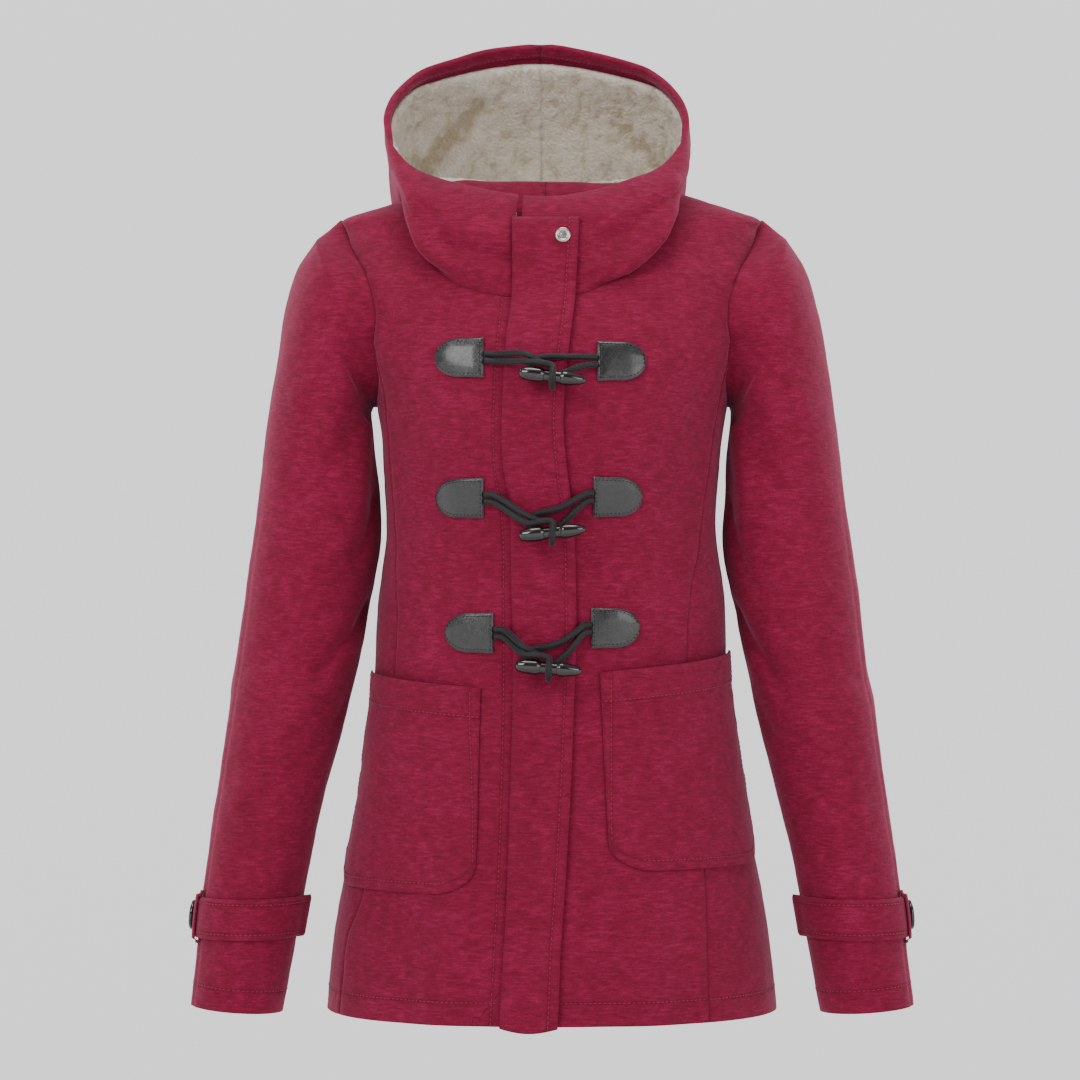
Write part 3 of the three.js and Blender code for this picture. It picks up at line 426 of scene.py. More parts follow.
def flat_size(grid, round_=False):
    """The longest row and column of a piece's hanging outer face and its area, in metres."""
    ring = np.concatenate([grid, grid[:, :1]], 1) if round_ else grid
    width = np.linalg.norm(np.diff(ring, axis=1), axis=-1).sum(1).max()
    length = np.linalg.norm(np.diff(ring, axis=0), axis=-1).sum(0).max()
    a, b = ring[1:, 1:] - ring[:-1, :-1], ring[1:, :-1] - ring[:-1, 1:]
    area = np.linalg.norm(np.cross(a, b), axis=-1).sum() / 2
    return width / 1000, length / 1000, area / 1e6


def dress(obj, node):
    """The piece stands for a CAD node, hides that node's part and rides on the coat."""
    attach(obj, "root")
    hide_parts(node)


# Stitches: short raised threads laid along lines, gathered here and joined at the end
thread = {"coating": [], "leather": []}


def stitch_line(kind, path, normals, pitch=4.0, length=2.9, radius=0.42, sink=0.12, skip=0.0):
    """Lays stitches along a path of points with the surface's normals there."""
    steps = np.linalg.norm(np.diff(path, axis=0), axis=1)
    at = np.concatenate([[0], np.cumsum(steps)])
    centres = np.arange(pitch / 2 + skip, at[-1] - pitch / 2 - skip, pitch)
    if len(centres) < 2:
        return
    pick = lambda values, s: np.stack([np.interp(s, at, values[:, c]) for c in range(3)], -1)
    middle = pick(path, centres)
    along = unit(pick(path, centres + 0.8) - pick(path, centres - 0.8))
    normal = unit(pick(normals, centres))
    side = unit(np.cross(normal, along))
    normal = np.cross(along, side)
    for offset in ((-0.5, 0.0), (-0.36, 0.8), (0.0, 1.0), (0.36, 0.8), (0.5, 0.0)):
        thread[kind].append((middle, along, side, normal, offset, length, radius, sink))


def stitch_mesh(kind):
    points, faces, start = [], [], 0
    entries = thread[kind]
    sections = 6
    for first in range(0, len(entries), 5):
        group = entries[first:first + 5]
        rings = []
        for middle, along, side, normal, (place, size), length, radius, sink in group:
            turn = np.arange(sections) * 2 * math.pi / sections
            r = radius * max(size, 0.15)
            rise = r * np.sin(turn) + radius * size - sink - radius * 0.5
            ring = (
                middle[:, None]
                + along[:, None] * place * length
                + side[:, None] * (r * np.cos(turn))[None, :, None]
                + normal[:, None] * rise[None, :, None]
            )
            rings.append(ring)
        block = np.stack(rings, 1)
        count = block.shape[0]
        base = start + np.arange(count)[:, None, None] * (5 * sections)
        i, j = np.meshgrid(np.arange(4), np.arange(sections), indexing="ij")
        quad = np.stack([
            i * sections + j, i * sections + (j + 1) % sections,
            (i + 1) * sections + (j + 1) % sections, (i + 1) * sections + j,
        ], -1).reshape(1, -1, 4)
        faces.append((base + quad).reshape(-1, 4))
        points.append(block.reshape(-1, 3))
        start += count * 5 * sections
    return np.concatenate(points), np.concatenate(faces)


def along_rows(grid, values, level, rows=None):
    """Points on a grid where values, which rise along each row, reach a level."""
    rows = range(len(grid)) if rows is None else rows
    return np.array([[np.interp(level, values[i], grid[i, :, c]) for c in range(3)] for i in rows])


def stitched(kind, grid, distances, edge, offset, low=0.0, high=1.0, **options):
    """Stitches on a grid at a distance from one of its edges, along the share of it from low to high."""
    normals = grid_normals(grid)
    values = distances[edge]
    if edge in ("bottom", "top"):
        grid, normals, values = grid.swapaxes(0, 1), normals.swapaxes(0, 1), values.T
    if edge in ("right", "top"):
        grid, normals, values = grid[:, ::-1], normals[:, ::-1], values[:, ::-1]
    rows = [i for i in range(len(grid)) if low <= i / (len(grid) - 1) <= high]
    path = along_rows(grid, values, offset, rows)
    stitch_line(kind, path, along_rows(normals, values, offset, rows), **options)


# Materials
class Nodes:
    """Builds a material's node tree."""

    def __init__(self, name):
        self.material = bpy.data.materials.new(name)
        self.material.use_nodes = True
        self.tree = self.material.node_tree
        self.shader = self.tree.nodes["Principled BSDF"]
        self.place = self.add("ShaderNodeTexCoord").outputs["Object"]

    def add(self, kind, inputs=None, **settings):
        node = self.tree.nodes.new(kind)
        for key, value in settings.items():
            setattr(node, key, value)
        for key, value in (inputs or {}).items():
            if isinstance(value, bpy.types.NodeSocket):
                self.tree.links.new(value, node.inputs[key])
            else:
                node.inputs[key].default_value = value
        return node

    def scaled(self, *scale):
        return self.add("ShaderNodeMapping", {"Vector": self.place, "Scale": scale}).outputs["Vector"]

    def noise(self, scale, detail=2.0, roughness=0.5, vector=None):
        inputs = {"Vector": vector or self.place, "Scale": scale, "Detail": detail, "Roughness": roughness}
        return self.add("ShaderNodeTexNoise", inputs).outputs["Fac"]

    def ramp(self, factor, *stops):
        node = self.add("ShaderNodeValToRGB", {"Fac": factor})
        elements = node.color_ramp.elements
        for i, (place, color) in enumerate(stops):
            element = elements[i] if i < 2 else elements.new(place)
            element.position = place
            element.color = (*color, 1) if len(color) == 3 else color
        return node.outputs["Color"]

    def mix(self, factor, a, b, blend="MIX"):
        node = self.add("ShaderNodeMix", data_type="RGBA", blend_type=blend)
        for key, value in ((0, factor), (6, a), (7, b)):
            if isinstance(value, bpy.types.NodeSocket):
                self.tree.links.new(value, node.inputs[key])
            else:
                node.inputs[key].default_value = value if key == 0 else (*value, 1)
        return node.outputs[2]

    def math(self, operation, a, b=0.0, c=0.0):
        node = self.add("ShaderNodeMath", operation=operation)
        for i, value in enumerate((a, b, c)):
            if isinstance(value, bpy.types.NodeSocket):
                self.tree.links.new(value, node.inputs[i])
            else:
                node.inputs[i].default_value = value
        return node.outputs[0]

    def decay(self, value, rate):
        """1 where value is 0, and less the larger it is."""
        return self.math("POWER", 2.718, self.math("MULTIPLY", value, -rate))

    def attribute(self, name):
        return self.add("ShaderNodeAttribute", attribute_name=name).outputs["Fac"]

    def bump(self, height, distance, strength=1.0, normal=None):
        inputs = {"Height": height, "Distance": distance, "Strength": strength}
        if normal is not None:
            inputs["Normal"] = normal
        return self.add("ShaderNodeBump", inputs).outputs["Normal"]

    def set(self, **values):
        names = {
            "color": "Base Color", "roughness": "Roughness", "metallic": "Metallic", "normal": "Normal",
            "specular": "Specular IOR Level", "sheen": "Sheen Weight", "sheen_roughness": "Sheen Roughness",
            "sheen_tint": "Sheen Tint", "coat": "Coat Weight", "coat_roughness": "Coat Roughness",
            "anisotropic": "Anisotropic",
        }
        for key, value in values.items():
            socket = self.shader.inputs[names[key]]
            if isinstance(value, bpy.types.NodeSocket):
                self.tree.links.new(value, socket)
            elif isinstance(value, tuple):
                socket.default_value = (*value, 1)
            else:
                socket.default_value = value
        return self.material


def coating_material():
    n = Nodes("coating")
    streaks = n.noise(1.0, 3.0, 0.6, n.scaled(110, 110, 620))
    mottle = n.noise(95, 3.0, 0.6)
    specks = n.noise(900, 2.0, 0.6)
    cloudy = n.noise(14, 2.0, 0.5)
    tone = n.math("ADD", n.math("MULTIPLY", streaks, 0.5), n.math("MULTIPLY", mottle, 0.22))
    tone = n.math("ADD", tone, n.math("MULTIPLY", specks, 0.28))
    tone = n.math("ADD", tone, n.math("MULTIPLY", n.math("SUBTRACT", cloudy, 0.5), 0.12))
    dark, light, between = (0.135, 0.003, 0.018), (0.3, 0.011, 0.062), (0.205, 0.0054, 0.033)
    color = n.ramp(tone, (0.34, dark), (0.66, light), (0.5, between))
    # painted shade: the colour darkens along the stitch lines and beside the sewn edges, where shade falls in
    # the grooves and seam hollows
    line = n.attribute("line")
    groove = n.decay(n.math("MULTIPLY", line, line), 0.55)
    seam = n.decay(n.attribute("edge"), 0.9)
    shaded = n.math("MAXIMUM", n.math("MULTIPLY", groove, 0.3), n.math("MULTIPLY", seam, 0.55))
    color = n.mix(shaded, color, (0.10, 0.0015, 0.012))
    height = n.math("ADD", n.math("MULTIPLY", streaks, 0.3), n.math("MULTIPLY", specks, 0.42))
    height = n.math("ADD", height, n.math("MULTIPLY", mottle, 0.45))
    height = n.math("SUBTRACT", height, n.math("MULTIPLY", groove, 1.3))
    return n.set(color=color, roughness=0.88, specular=0.22, sheen=0.32, sheen_roughness=0.45,
                 sheen_tint=(0.95, 0.3, 0.5), normal=n.bump(height, 0.0008, 0.75))


def thread_material():
    n = Nodes("thread")
    fibre = n.noise(1500, 2.0)
    color = n.ramp(fibre, (0.3, (0.17, 0.003, 0.02)), (0.7, (0.36, 0.01, 0.06)))
    return n.set(color=color, roughness=0.6, specular=0.3, sheen=0.2, normal=n.bump(fibre, 0.0003, 0.6))


def fleece_material():
    n = Nodes("fleece")
    curls = n.add("ShaderNodeTexVoronoi", {"Vector": n.place, "Scale": 330.0, "Randomness": 1.0})
    fibre = n.noise(1600, 3.0, 0.65)
    wide = n.noise(120, 2.0)
    # painted shade: the pile attribute darkens the colour where the curls sit low and in the lining's
    # creases, and the curls' distance darkens the hollows between them; the wide noise is random tone
    depth = n.attribute("pile")
    tone = n.math("ADD", n.math("MULTIPLY", depth, 0.78), n.math("MULTIPLY", wide, 0.22))
    dark, light, between = (0.47, 0.38, 0.25), (0.93, 0.885, 0.79), (0.80, 0.73, 0.60)
    color = n.ramp(tone, (0.05, dark), (0.75, light), (0.35, between))
    color = n.mix(n.math("MULTIPLY", curls.outputs["Distance"], 0.22), color, (0.62, 0.52, 0.38))
    hollow = n.math("MULTIPLY", curls.outputs["Distance"], 0.9)
    height = n.math("SUBTRACT", n.math("MULTIPLY", fibre, 0.5), hollow)
    return n.set(color=color, roughness=1.0, specular=0.1, sheen=0.35, sheen_roughness=0.6,
                 sheen_tint=(1.0, 0.96, 0.9), normal=n.bump(height, 0.0016, 0.8))


def leather_material():
    n = Nodes("leather")
    grain = n.add("ShaderNodeTexVoronoi", {"Vector": n.place, "Scale": 900.0}, feature="DISTANCE_TO_EDGE")
    soft = n.noise(240, 3.0)
    color = n.ramp(soft, (0.3, (0.010, 0.009, 0.010)), (0.75, (0.024, 0.022, 0.024)))
    # painted highlight: the colour is lighter along the tab's edges, as if they caught the light
    edge = n.decay(n.attribute("edge"), 2.2)
    color = n.mix(n.math("MULTIPLY", edge, 0.5), color, (0.10, 0.095, 0.10))
    line = n.attribute("line")
    groove = n.decay(n.math("MULTIPLY", line, line), 3.0)
    rough = n.add("ShaderNodeMapRange", {"Value": soft, "To Min": 0.2, "To Max": 0.34}).outputs["Result"]
    height = n.math("ADD", n.math("MULTIPLY", grain.outputs["Distance"], 1.6), n.math("MULTIPLY", soft, 0.3))
    height = n.math("SUBTRACT", height, n.math("MULTIPLY", groove, 0.9))
    return n.set(color=color, roughness=rough, specular=0.6, coat=0.35, coat_roughness=0.12,
                 normal=n.bump(height, 0.0003, 0.35))


def horn_material():
    n = Nodes("horn")
    veins = n.noise(1.0, 4.0, 0.6, n.scaled(40, 130, 200))
    color = n.ramp(veins, (0.42, (0.005, 0.004, 0.004)), (0.8, (0.035, 0.017, 0.010)))
    rough = n.add("ShaderNodeMapRange", {"Value": veins, "To Min": 0.07, "To Max": 0.16}).outputs["Result"]
    return n.set(color=color, roughness=rough, specular=0.6, coat=0.6, coat_roughness=0.05,
                 normal=n.bump(n.noise(160, 2.0), 0.0003, 0.15))


def cord_material():
    n = Nodes("cord")
    braid = n.attribute("braid")
    fibre = n.noise(2200, 2.0)
    # painted shade: the colour is darker in the valleys between the braid's raised strands; the fibre noise
    # is random tone
    color = n.ramp(n.math("ADD", n.math("MULTIPLY", braid, 0.7), n.math("MULTIPLY", fibre, 0.3)),
                   (0.2, (0.003, 0.003, 0.004)), (0.9, (0.022, 0.021, 0.024)))
    return n.set(color=color, roughness=0.55, specular=0.4, sheen=0.15, sheen_roughness=0.4,
                 normal=n.bump(n.math("ADD", braid, n.math("MULTIPLY", fibre, 0.5)), 0.0003, 0.6))


def metal_material():
    n = Nodes("metal")
    brushed = n.noise(1.0, 2.0, 0.5, n.scaled(300, 300, 2600))
    rough = n.add("ShaderNodeMapRange", {"Value": brushed, "To Min": 0.2, "To Max": 0.36}).outputs["Result"]
    color = n.ramp(brushed, (0.3, (0.50, 0.45, 0.42)), (0.7, (0.68, 0.62, 0.58)))
    return n.set(color=color, metallic=1.0, roughness=rough, normal=n.bump(brushed, 0.0001, 0.3))


coating = coating_material()
red_thread = thread_material()
fleece = fleece_material()
leather = leather_material()
horn = horn_material()
cord_black = cord_material()
metal = metal_material()


# Seams of the body
ARMHOLE_SPLIT = on_front(149, -112)
SHOULDER_TIP = (SHOULDER, -5)
armhole_high = line(
    [ARMHOLE_SPLIT, on_front(147, -95), on_front(149, -76), on_front(157, -52), on_front(169, -31),
     SHOULDER_TIP],
    ARMHOLE_HIGH,
)
armhole_low = line([(SHOULDER, ARMPIT), (78, -153), (70, -135), ARMHOLE_SPLIT], ARMHOLE_LOW)
armhole_back = line(
    [(SHOULDER, ARMPIT), (101, -154), (108, -138), on_back(150, -112), on_back(151, -82), on_back(159, -54),
     on_back(169, -31), SHOULDER_TIP],
    ARMHOLE_BACK,
)
side_seam = line([(SHOULDER, HEM), (SHOULDER, -420), (SHOULDER, ARMPIT)], SIDE_ROWS)
princess = {
    "right": mirrored(line(
        [on_front(178, HEM), on_front(175, -640), on_front(170, -605), on_front(157, -570),
         on_front(140, -480), on_front(131, -400), on_front(129, -330), on_front(131, -260),
         on_front(142, -160), ARMHOLE_SPLIT],
        SIDE_ROWS + ARMHOLE_LOW,
    )),
    "left": line(
        [on_front(130, HEM), on_front(128, -620), on_front(125, -545), on_front(117, -470),
         on_front(113, -400), on_front(114, -326), on_front(125, -260), on_front(142, -160), ARMHOLE_SPLIT],
        SIDE_ROWS + ARMHOLE_LOW,
    ),
}
placket = table(
    ["z", "seam", "free"],
    [
        [-674, -43, 4], [-621, -40, 6.5], [-566, -37, 10], [-463, -33.5, 16], [-378, -32, 19],
        [-296, -33.5, 19.5], [-250, -34.5, 16.5], [-217, -40, 12], [-185, -41, 9], [-152, -40, 10.5],
        [-113, -37.5, 14.7],
        [-76, -33, 19], [-11, -33, 22.3],
    ],
)
UNDER_PLACKET = {"right": 7, "left": 11}
NECK_FRONT = -77


def edge_under_placket(side, z):
    return on_front(placket["seam"](z) + UNDER_PLACKET[side], z)


neckline = {
    "right": line(
        [edge_under_placket("right", NECK_FRONT), on_front(-38, -77), on_front(-66, -71),
         on_front(-84, -62.5), on_front(-100, -46), on_front(-107.4, -27), on_front(-111, -1),
         on_front(-111.8, 8), (-SHOULDER, NECK_TOP["right"])],
        NECK_RIGHT,
    ),
    "left": line(
        [edge_under_placket("left", NECK_FRONT), on_front(0, -77), on_front(27, -74), on_front(43, -66.6),
         on_front(60, -58.6), on_front(78.6, -39.7), on_front(89.4, -16), on_front(96, 2.5),
         on_front(97.5, 12), (SHOULDER, NECK_TOP["left"])],
        NECK_LEFT,
    ),
    "back": line(
        [(SHOULDER, NECK_TOP["left"]), on_back(90, 15), on_back(45, 8), on_back(NECK_CENTRE, 5),
         on_back(-55, 7), on_back(-100, 12), (360 - SHOULDER, NECK_TOP["right"])],
        NECK_BACK,
    ),
}
FRONT_HEIGHTS = [HEM, -560, -450, -340, -250, -217, -185, -152, -113, NECK_FRONT]
FRONT_HEIGHT_ROWS = {"right": 16, "left": 15}  # the solids' rows from the hem to the neck seam


def seam_rounding(distances, edges, depth=0.9, reach=2.2):
    """How far a panel's face dips beside its sewn edges."""
    near = np.minimum.reduce([distances[edge] for edge in edges])
    return -depth * np.exp(-((near / reach) ** 2)), near


def drawn_in(grid, amount=SEAM_GAP / 2):
    result = grid.copy()
    result[0] += unit(grid[1] - grid[0]) * amount
    result[-1] += unit(grid[-2] - grid[-1]) * amount
    result[:, 0] += unit(grid[:, 1] - grid[:, 0]) * amount
    result[:, -1] += unit(grid[:, -2] - grid[:, -1]) * amount
    return result


SEWN = {}  # outer grids of the panels, by name


def nearest_line(distances, lines):
    """Signed distance to the nearest sewn line. A line is an edge, its offset and the share of it kept."""
    best = np.full(distances["left"].shape, NO_LINE)
    rows, columns = best.shape
    for edge, offset, low, high in lines:
        count = rows if edge in ("left", "right") else columns
        share = np.linspace(0, 1, count)
        inside = (share >= low) & (share <= high)
        inside = inside[:, None] if edge in ("left", "right") else inside[None, :]
        value = np.where(inside, distances[edge] - offset, NO_LINE)
        best = np.where(np.abs(value) < np.abs(best), value, best)
    return best


def make_panel(node, places, sewn_edges, lines):
    """A cloth panel over the body, with sewn lines in relief along some of its edges."""
    base = on_body(places)
    distances = edge_distances(base)
    dip, near = seam_rounding(distances, sewn_edges)
    line_value = nearest_line(distances, lines)
    pucker = 0.5 * np.exp(-near / 10) * noise(base, (9, 9, 11), 21)
    pucker += 0.35 * np.exp(-np.abs(line_value) / 9) * noise(base, (8, 8, 14), 31)
    rise = dip + pucker + fuzz(base)
    normals = body_normal(places)
    outer = drawn_in(base + normals * rise[..., None])
    inner = outer - normals * (CLOTH + dip * 0.4)[..., None]
    if (grid_normals(outer) * normals).sum() < 0:
        outer, inner, line_value, near = (v[:, ::-1] for v in (outer, inner, line_value, near))
        lines = [({"left": "right", "right": "left"}.get(edge, edge), *rest) for edge, *rest in lines]
    attributes = {"line": line_value, "edge": near}
    dress(make_wall(node, outer, inner, coating, attributes), node)
    SEWN[node] = outer
    distances = edge_distances(outer)
    for edge, offset, low, high in lines:
        stitched("coating", outer, distances, edge, offset, low, high)


def front_places(side):
    sign = -1 if side == "right" else 1
    high = mirrored(armhole_high) if sign < 0 else armhole_high
    outer_edge = joined(princess[side], high)
    neck = neckline[side]
    rows = (len(outer_edge) - len(neck)) // FINE
    centre = joined(line([edge_under_placket(side, z) for z in FRONT_HEIGHTS], rows), neck)
    hem = line([outer_edge[0], centre[0]], FRONT_COLUMNS)
    shoulder = line([outer_edge[-1], (sign * SHOULDER, NECK_TOP[side])], FRONT_COLUMNS)
    return patch(hem, shoulder, outer_edge, centre, spaced(44, 150), spaced(165, 670))


for side in ("right", "left"):
    neck_share = FRONT_HEIGHT_ROWS[side] / (SIDE_ROWS + ARMHOLE_LOW + ARMHOLE_HIGH)
    lines = [("bottom", HEM_LINE, 0, 1)]
    if side == "right":
        lines.append(("right", UNDER_PLACKET[side] + 7.5, 0.0, neck_share))
    make_panel(f"front_{side}", front_places(side), ["left", "right", "top"], lines)
    turn = mirrored if side == "right" else (lambda points: points)
    outer_edge = turn(joined(side_seam, armhole_low))
    hem = line([outer_edge[0], princess[side][0]], SIDE_COLUMNS)
    top = turn(np.array([ARMHOLE_SPLIT] * 3))
    places = patch(hem, top, outer_edge, princess[side], spaced(24, 90), spaced(130, 560))
    make_panel(f"side_front_{side}", places, ["left", "right"], [("bottom", HEM_LINE, 0, 1)])


def far(points):
    return np.stack([360 - points[:, 0], points[:, 1]], -1)


back_left = joined(side_seam, armhole_back)
shoulder_left = line([SHOULDER_TIP, (SHOULDER, NECK_TOP["left"])], FRONT_COLUMNS)
shoulder_right = far(line([(SHOULDER, NECK_TOP["right"]), SHOULDER_TIP], FRONT_COLUMNS))
back_top = joined(shoulder_left, neckline["back"], shoulder_right)
back_hem = line([(SHOULDER, HEM), (360 - SHOULDER, HEM)], 2 * FRONT_COLUMNS + NECK_BACK)
places = patch(back_hem, back_top, back_left, far(back_left), spaced(150, 620), spaced(165, 680))
make_panel("back_panel", places, ["left", "right", "top"], [("bottom", HEM_LINE, 0, 1)])


# Sleeves
sleeve = table(
    ["row", "outer_x", "outer_z", "inner_x", "inner_z", "y", "depth"],
    [
        [1, 199, -22, 153, -169, 0, 79],
        [2, 215, -48, 152.5, -174, -2, 78],
        [3, 226, -86, 151.5, -182, -3, 75],
        [4, 233.5, -130, 150, -195, -4, 71],
        [5, 239.5, -170, 148, -216, -5, 68],
        [6, 245.5, -215, 146, -242, -6, 65],
        [7, 251.5, -262, 144.5, -275, -7, 62.5],
        [8, 257.5, -305, 149, -310, -10, 60.5],
        [9, 262, -345, 156, -346, -14, 58.5],
        [10, 267.6, -390, 165.5, -389, -18, 56],
        [11, 275, -440, 177, -438, -23, 54],
        [12, 281.5, -490, 189.5, -488, -28, 51.5],
        [13, 289, -540, 201.5, -538, -32, 49],
        [14, 295, -585, 210, -584, -36, 47],
        [15, 298.5, -625, 217, -625, -38, 45.5],
        [16, 303, -666, 225.5, -672, -39, 44],
    ],
)
# Folds: places as row and turn, width, height, sharpness; the first seven of a side are the solids' too
SLEEVE_FOLDS = {
    "right": [
        ([(2.2, 118), (4.6, 100)], 13, 4, 0),
        ([(3.4, 150), (6.2, 132)], 13, 4.5, 0),
        ([(6, 160), (7.6, 136)], 10, -3.5, 0.3),
        ([(8.7, 172), (10, 118)], 12, -6, 0.3),
        ([(8, 200), (10.2, 240)], 14, -5, 0.3),
        ([(9.4, 150), (10.8, 95)], 12, 3.5, 0),
        ([(12, 60), (13.2, 120)], 14, 3, 0),
        ([(1.4, 96), (3.2, 84), (4.4, 62)], 10, 1.8, 0.3),
        ([(4.9, 120), (6.0, 96), (6.6, 66)], 10, -1.6, 0.3),
        ([(7.2, 120), (8.0, 84), (8.3, 50)], 10, 1.5, 0.3),
        ([(8.9, 110), (9.6, 70), (9.9, 36)], 10, -1.7, 0.3),
        ([(10.6, 160), (11.5, 120), (12.1, 84)], 9, -2.0, 0.3),
        ([(11.6, 40), (12.3, 80)], 10, -1.4, 0.2),
        ([(14.9, 90), (15.4, 130)], 9, 1.2, 0.2),
        ([(8.4, 300), (9.4, 330), (10.2, 350)], 14, 2.4, 0.2),
        ([(6.5, 230), (7.6, 262), (8.2, 300)], 12, -2.2, 0.2),
        ([(2.4, 300), (4.0, 286), (5.4, 262)], 14, 2.4, 0.2),
        ([(11, 240), (12.2, 280)], 13, 2.2, 0.2),
    ],
    "left": [
        ([(2.4, 120), (4.4, 98)], 13, 3.5, 0),
        ([(3.6, 152), (6.4, 130)], 13, 4.5, 0),
        ([(6.2, 160), (7.8, 140)], 10, -3.5, 0.3),
        ([(8.8, 172), (10.3, 122)], 12, -5.5, 0.3),
        ([(8.2, 200), (10.4, 236)], 14, -5, 0.3),
        ([(9.8, 150), (11, 100)], 12, 3, 0),
        ([(12.2, 66), (13.6, 118)], 14, 3, 0),
        ([(1.5, 94), (3.4, 82), (4.6, 64)], 10, 1.8, 0.3),
        ([(5.1, 122), (6.2, 98), (6.9, 70)], 10, -1.6, 0.3),
        ([(7.4, 122), (8.1, 88), (8.5, 54)], 10, 1.5, 0.3),
        ([(9.1, 112), (9.7, 72), (10.1, 40)], 10, -1.7, 0.3),
        ([(10.8, 158), (11.7, 122), (12.4, 88)], 9, -2.0, 0.3),
        ([(13.9, 60), (14.6, 100)], 10, 1.3, 0.2),
        ([(8.4, 302), (9.6, 332), (10.4, 352)], 14, 2.4, 0.2),
        ([(6.4, 232), (7.5, 264), (8.1, 300)], 12, -2.2, 0.2),
        ([(2.5, 298), (4.1, 284), (5.5, 262)], 14, 2.4, 0.2),
        ([(11.2, 238), (12.4, 278)], 13, 2.2, 0.2),
    ],
}
ROW_LENGTH = 43


def sleeve_section(row, turn):
    outer = np.stack([sleeve["outer_x"](row), sleeve["y"](row), sleeve["outer_z"](row)], -1)
    inner = np.stack([sleeve["inner_x"](row), sleeve["y"](row), sleeve["inner_z"](row)], -1)
    centre = (outer + inner) / 2
    turn = np.radians(turn)
    forward = np.stack([0 * turn, -sleeve["depth"](row) + 0 * turn, 0 * turn], -1)
    return centre + (outer - centre) * np.cos(turn)[..., None] + forward * np.sin(turn)[..., None]


def sleeve_normal(row, turn):
    across = sleeve_section(row, turn + 3) - sleeve_section(row, turn - 3)
    along = sleeve_section(np.minimum(row + 0.1, 16), turn) - sleeve_section(np.maximum(row - 0.1, 1), turn)
    return unit(np.cross(across, along))


def on_sleeve(side, row, turn, out=0.0):
    row, turn = np.broadcast_arrays(np.asarray(row, float), np.asarray(turn, float))
    here = np.stack([row * ROW_LENGTH, turn], -1)
    fold = np.zeros(row.shape)
    for places, width, height, sharp in SLEEVE_FOLDS[side]:
        for shift in (0, 360, -360):
            moved = [(r * ROW_LENGTH, t + shift) for r, t in places]
            fold = fold + crease(here, moved, width, height, sharp)
    return sleeve_section(row, turn) + sleeve_normal(row, turn) * (fold + out)[..., None]


def on_side(side, points):
    return points * np.array([-1.0 if side == "right" else 1.0, 1, 1])


armhole = joined(armhole_high[::-1], armhole_low[::-1], armhole_back)[:-1]


def seam_ring(places, facing, away, gap=SEAM_GAP, round_=True):
    """Where a tube is sewn into the body: its allowance under the panels, the seam and a line beyond it."""
    points = on_body(places)
    if round_:
        wide = np.concatenate([points[-1:], points, points[:1]])
        along = wide[2:] - wide[:-2]
    else:
        along = np.gradient(points, axis=0)
    normal = body_normal(places)
    into = unit(np.cross(along, normal)) * facing
    seam = points + into * gap - normal * 0.9
    under = points - into * 5 - normal * (CLOTH + 2.4)
    return under, seam, points + into * gap + np.array(away) * CLOTH * 1.4


def make_sleeve(side):
    under, seam, out = seam_ring(armhole, -1, (1.0, 0, 0), 2 * SEAM_GAP)
    count = len(armhole)
    turns = np.arange(count) * 360 / count
    rows = np.concatenate([np.linspace(1, 15.6, 136), np.linspace(15.64, 16, 8)])
    grid = on_sleeve(side, rows[:, None], turns[None, :])
    turned = under * 0.4 + seam * 0.6 - np.array([0.8, 0, 0])
    base = np.concatenate([np.array([under, turned, seam, out, out * 0.45 + grid[0] * 0.55]), grid])
    distances = edge_distances(base)
    world = on_side(side, base)
    normals = grid_normals(base, True)
    near = np.abs(distances["bottom"] - distances["bottom"][2:3])
    line_value = distances["top"] - HEM_LINE
    rise = fuzz(world, 1.1) + 0.5 * np.exp(-near / 12) * noise(world, (10, 10, 10), 41)
    rise += 0.35 * np.exp(-np.abs(line_value) / 9) * noise(world, (8, 8, 14), 43)
    # the sleeve's long seam on the outer side shows as a faint crease
    turn_gap = (turns[None, :] + 180 - 24) % 360 - 180
    share = np.arange(len(base))[:, None] / len(base)
    rise += -0.9 * np.exp(-((turn_gap / 3.2) ** 2)) * smooth(share, 0.3, 0.45)
    rise *= smooth(distances["bottom"] - distances["bottom"][3:4], 0, 8)
    outer = base + normals * rise[..., None]
    inner = base + normals * (rise - CLOTH)[..., None]
    if side == "right":
        outer, inner = on_side(side, outer)[:, ::-1], on_side(side, inner)[:, ::-1]
        line_value, near = line_value[:, ::-1], near[:, ::-1]
    node = f"sleeve_{side}"
    attributes = {"line": line_value, "edge": near}
    dress(make_wall(node, outer, inner, coating, attributes, True), node)
    to_hem = edge_distances(outer)["top"].T[:, ::-1]
    across = (values.swapaxes(0, 1)[:, ::-1] for values in (outer, grid_normals(outer, True)))
    ring, ring_normals = (along_rows(values, to_hem, HEM_LINE) for values in across)
    closed = (np.concatenate([ring, ring[:1]]), np.concatenate([ring_normals, ring_normals[:1]]))
    stitch_line("coating", *closed)


for side in ("right", "left"):
    make_sleeve(side)


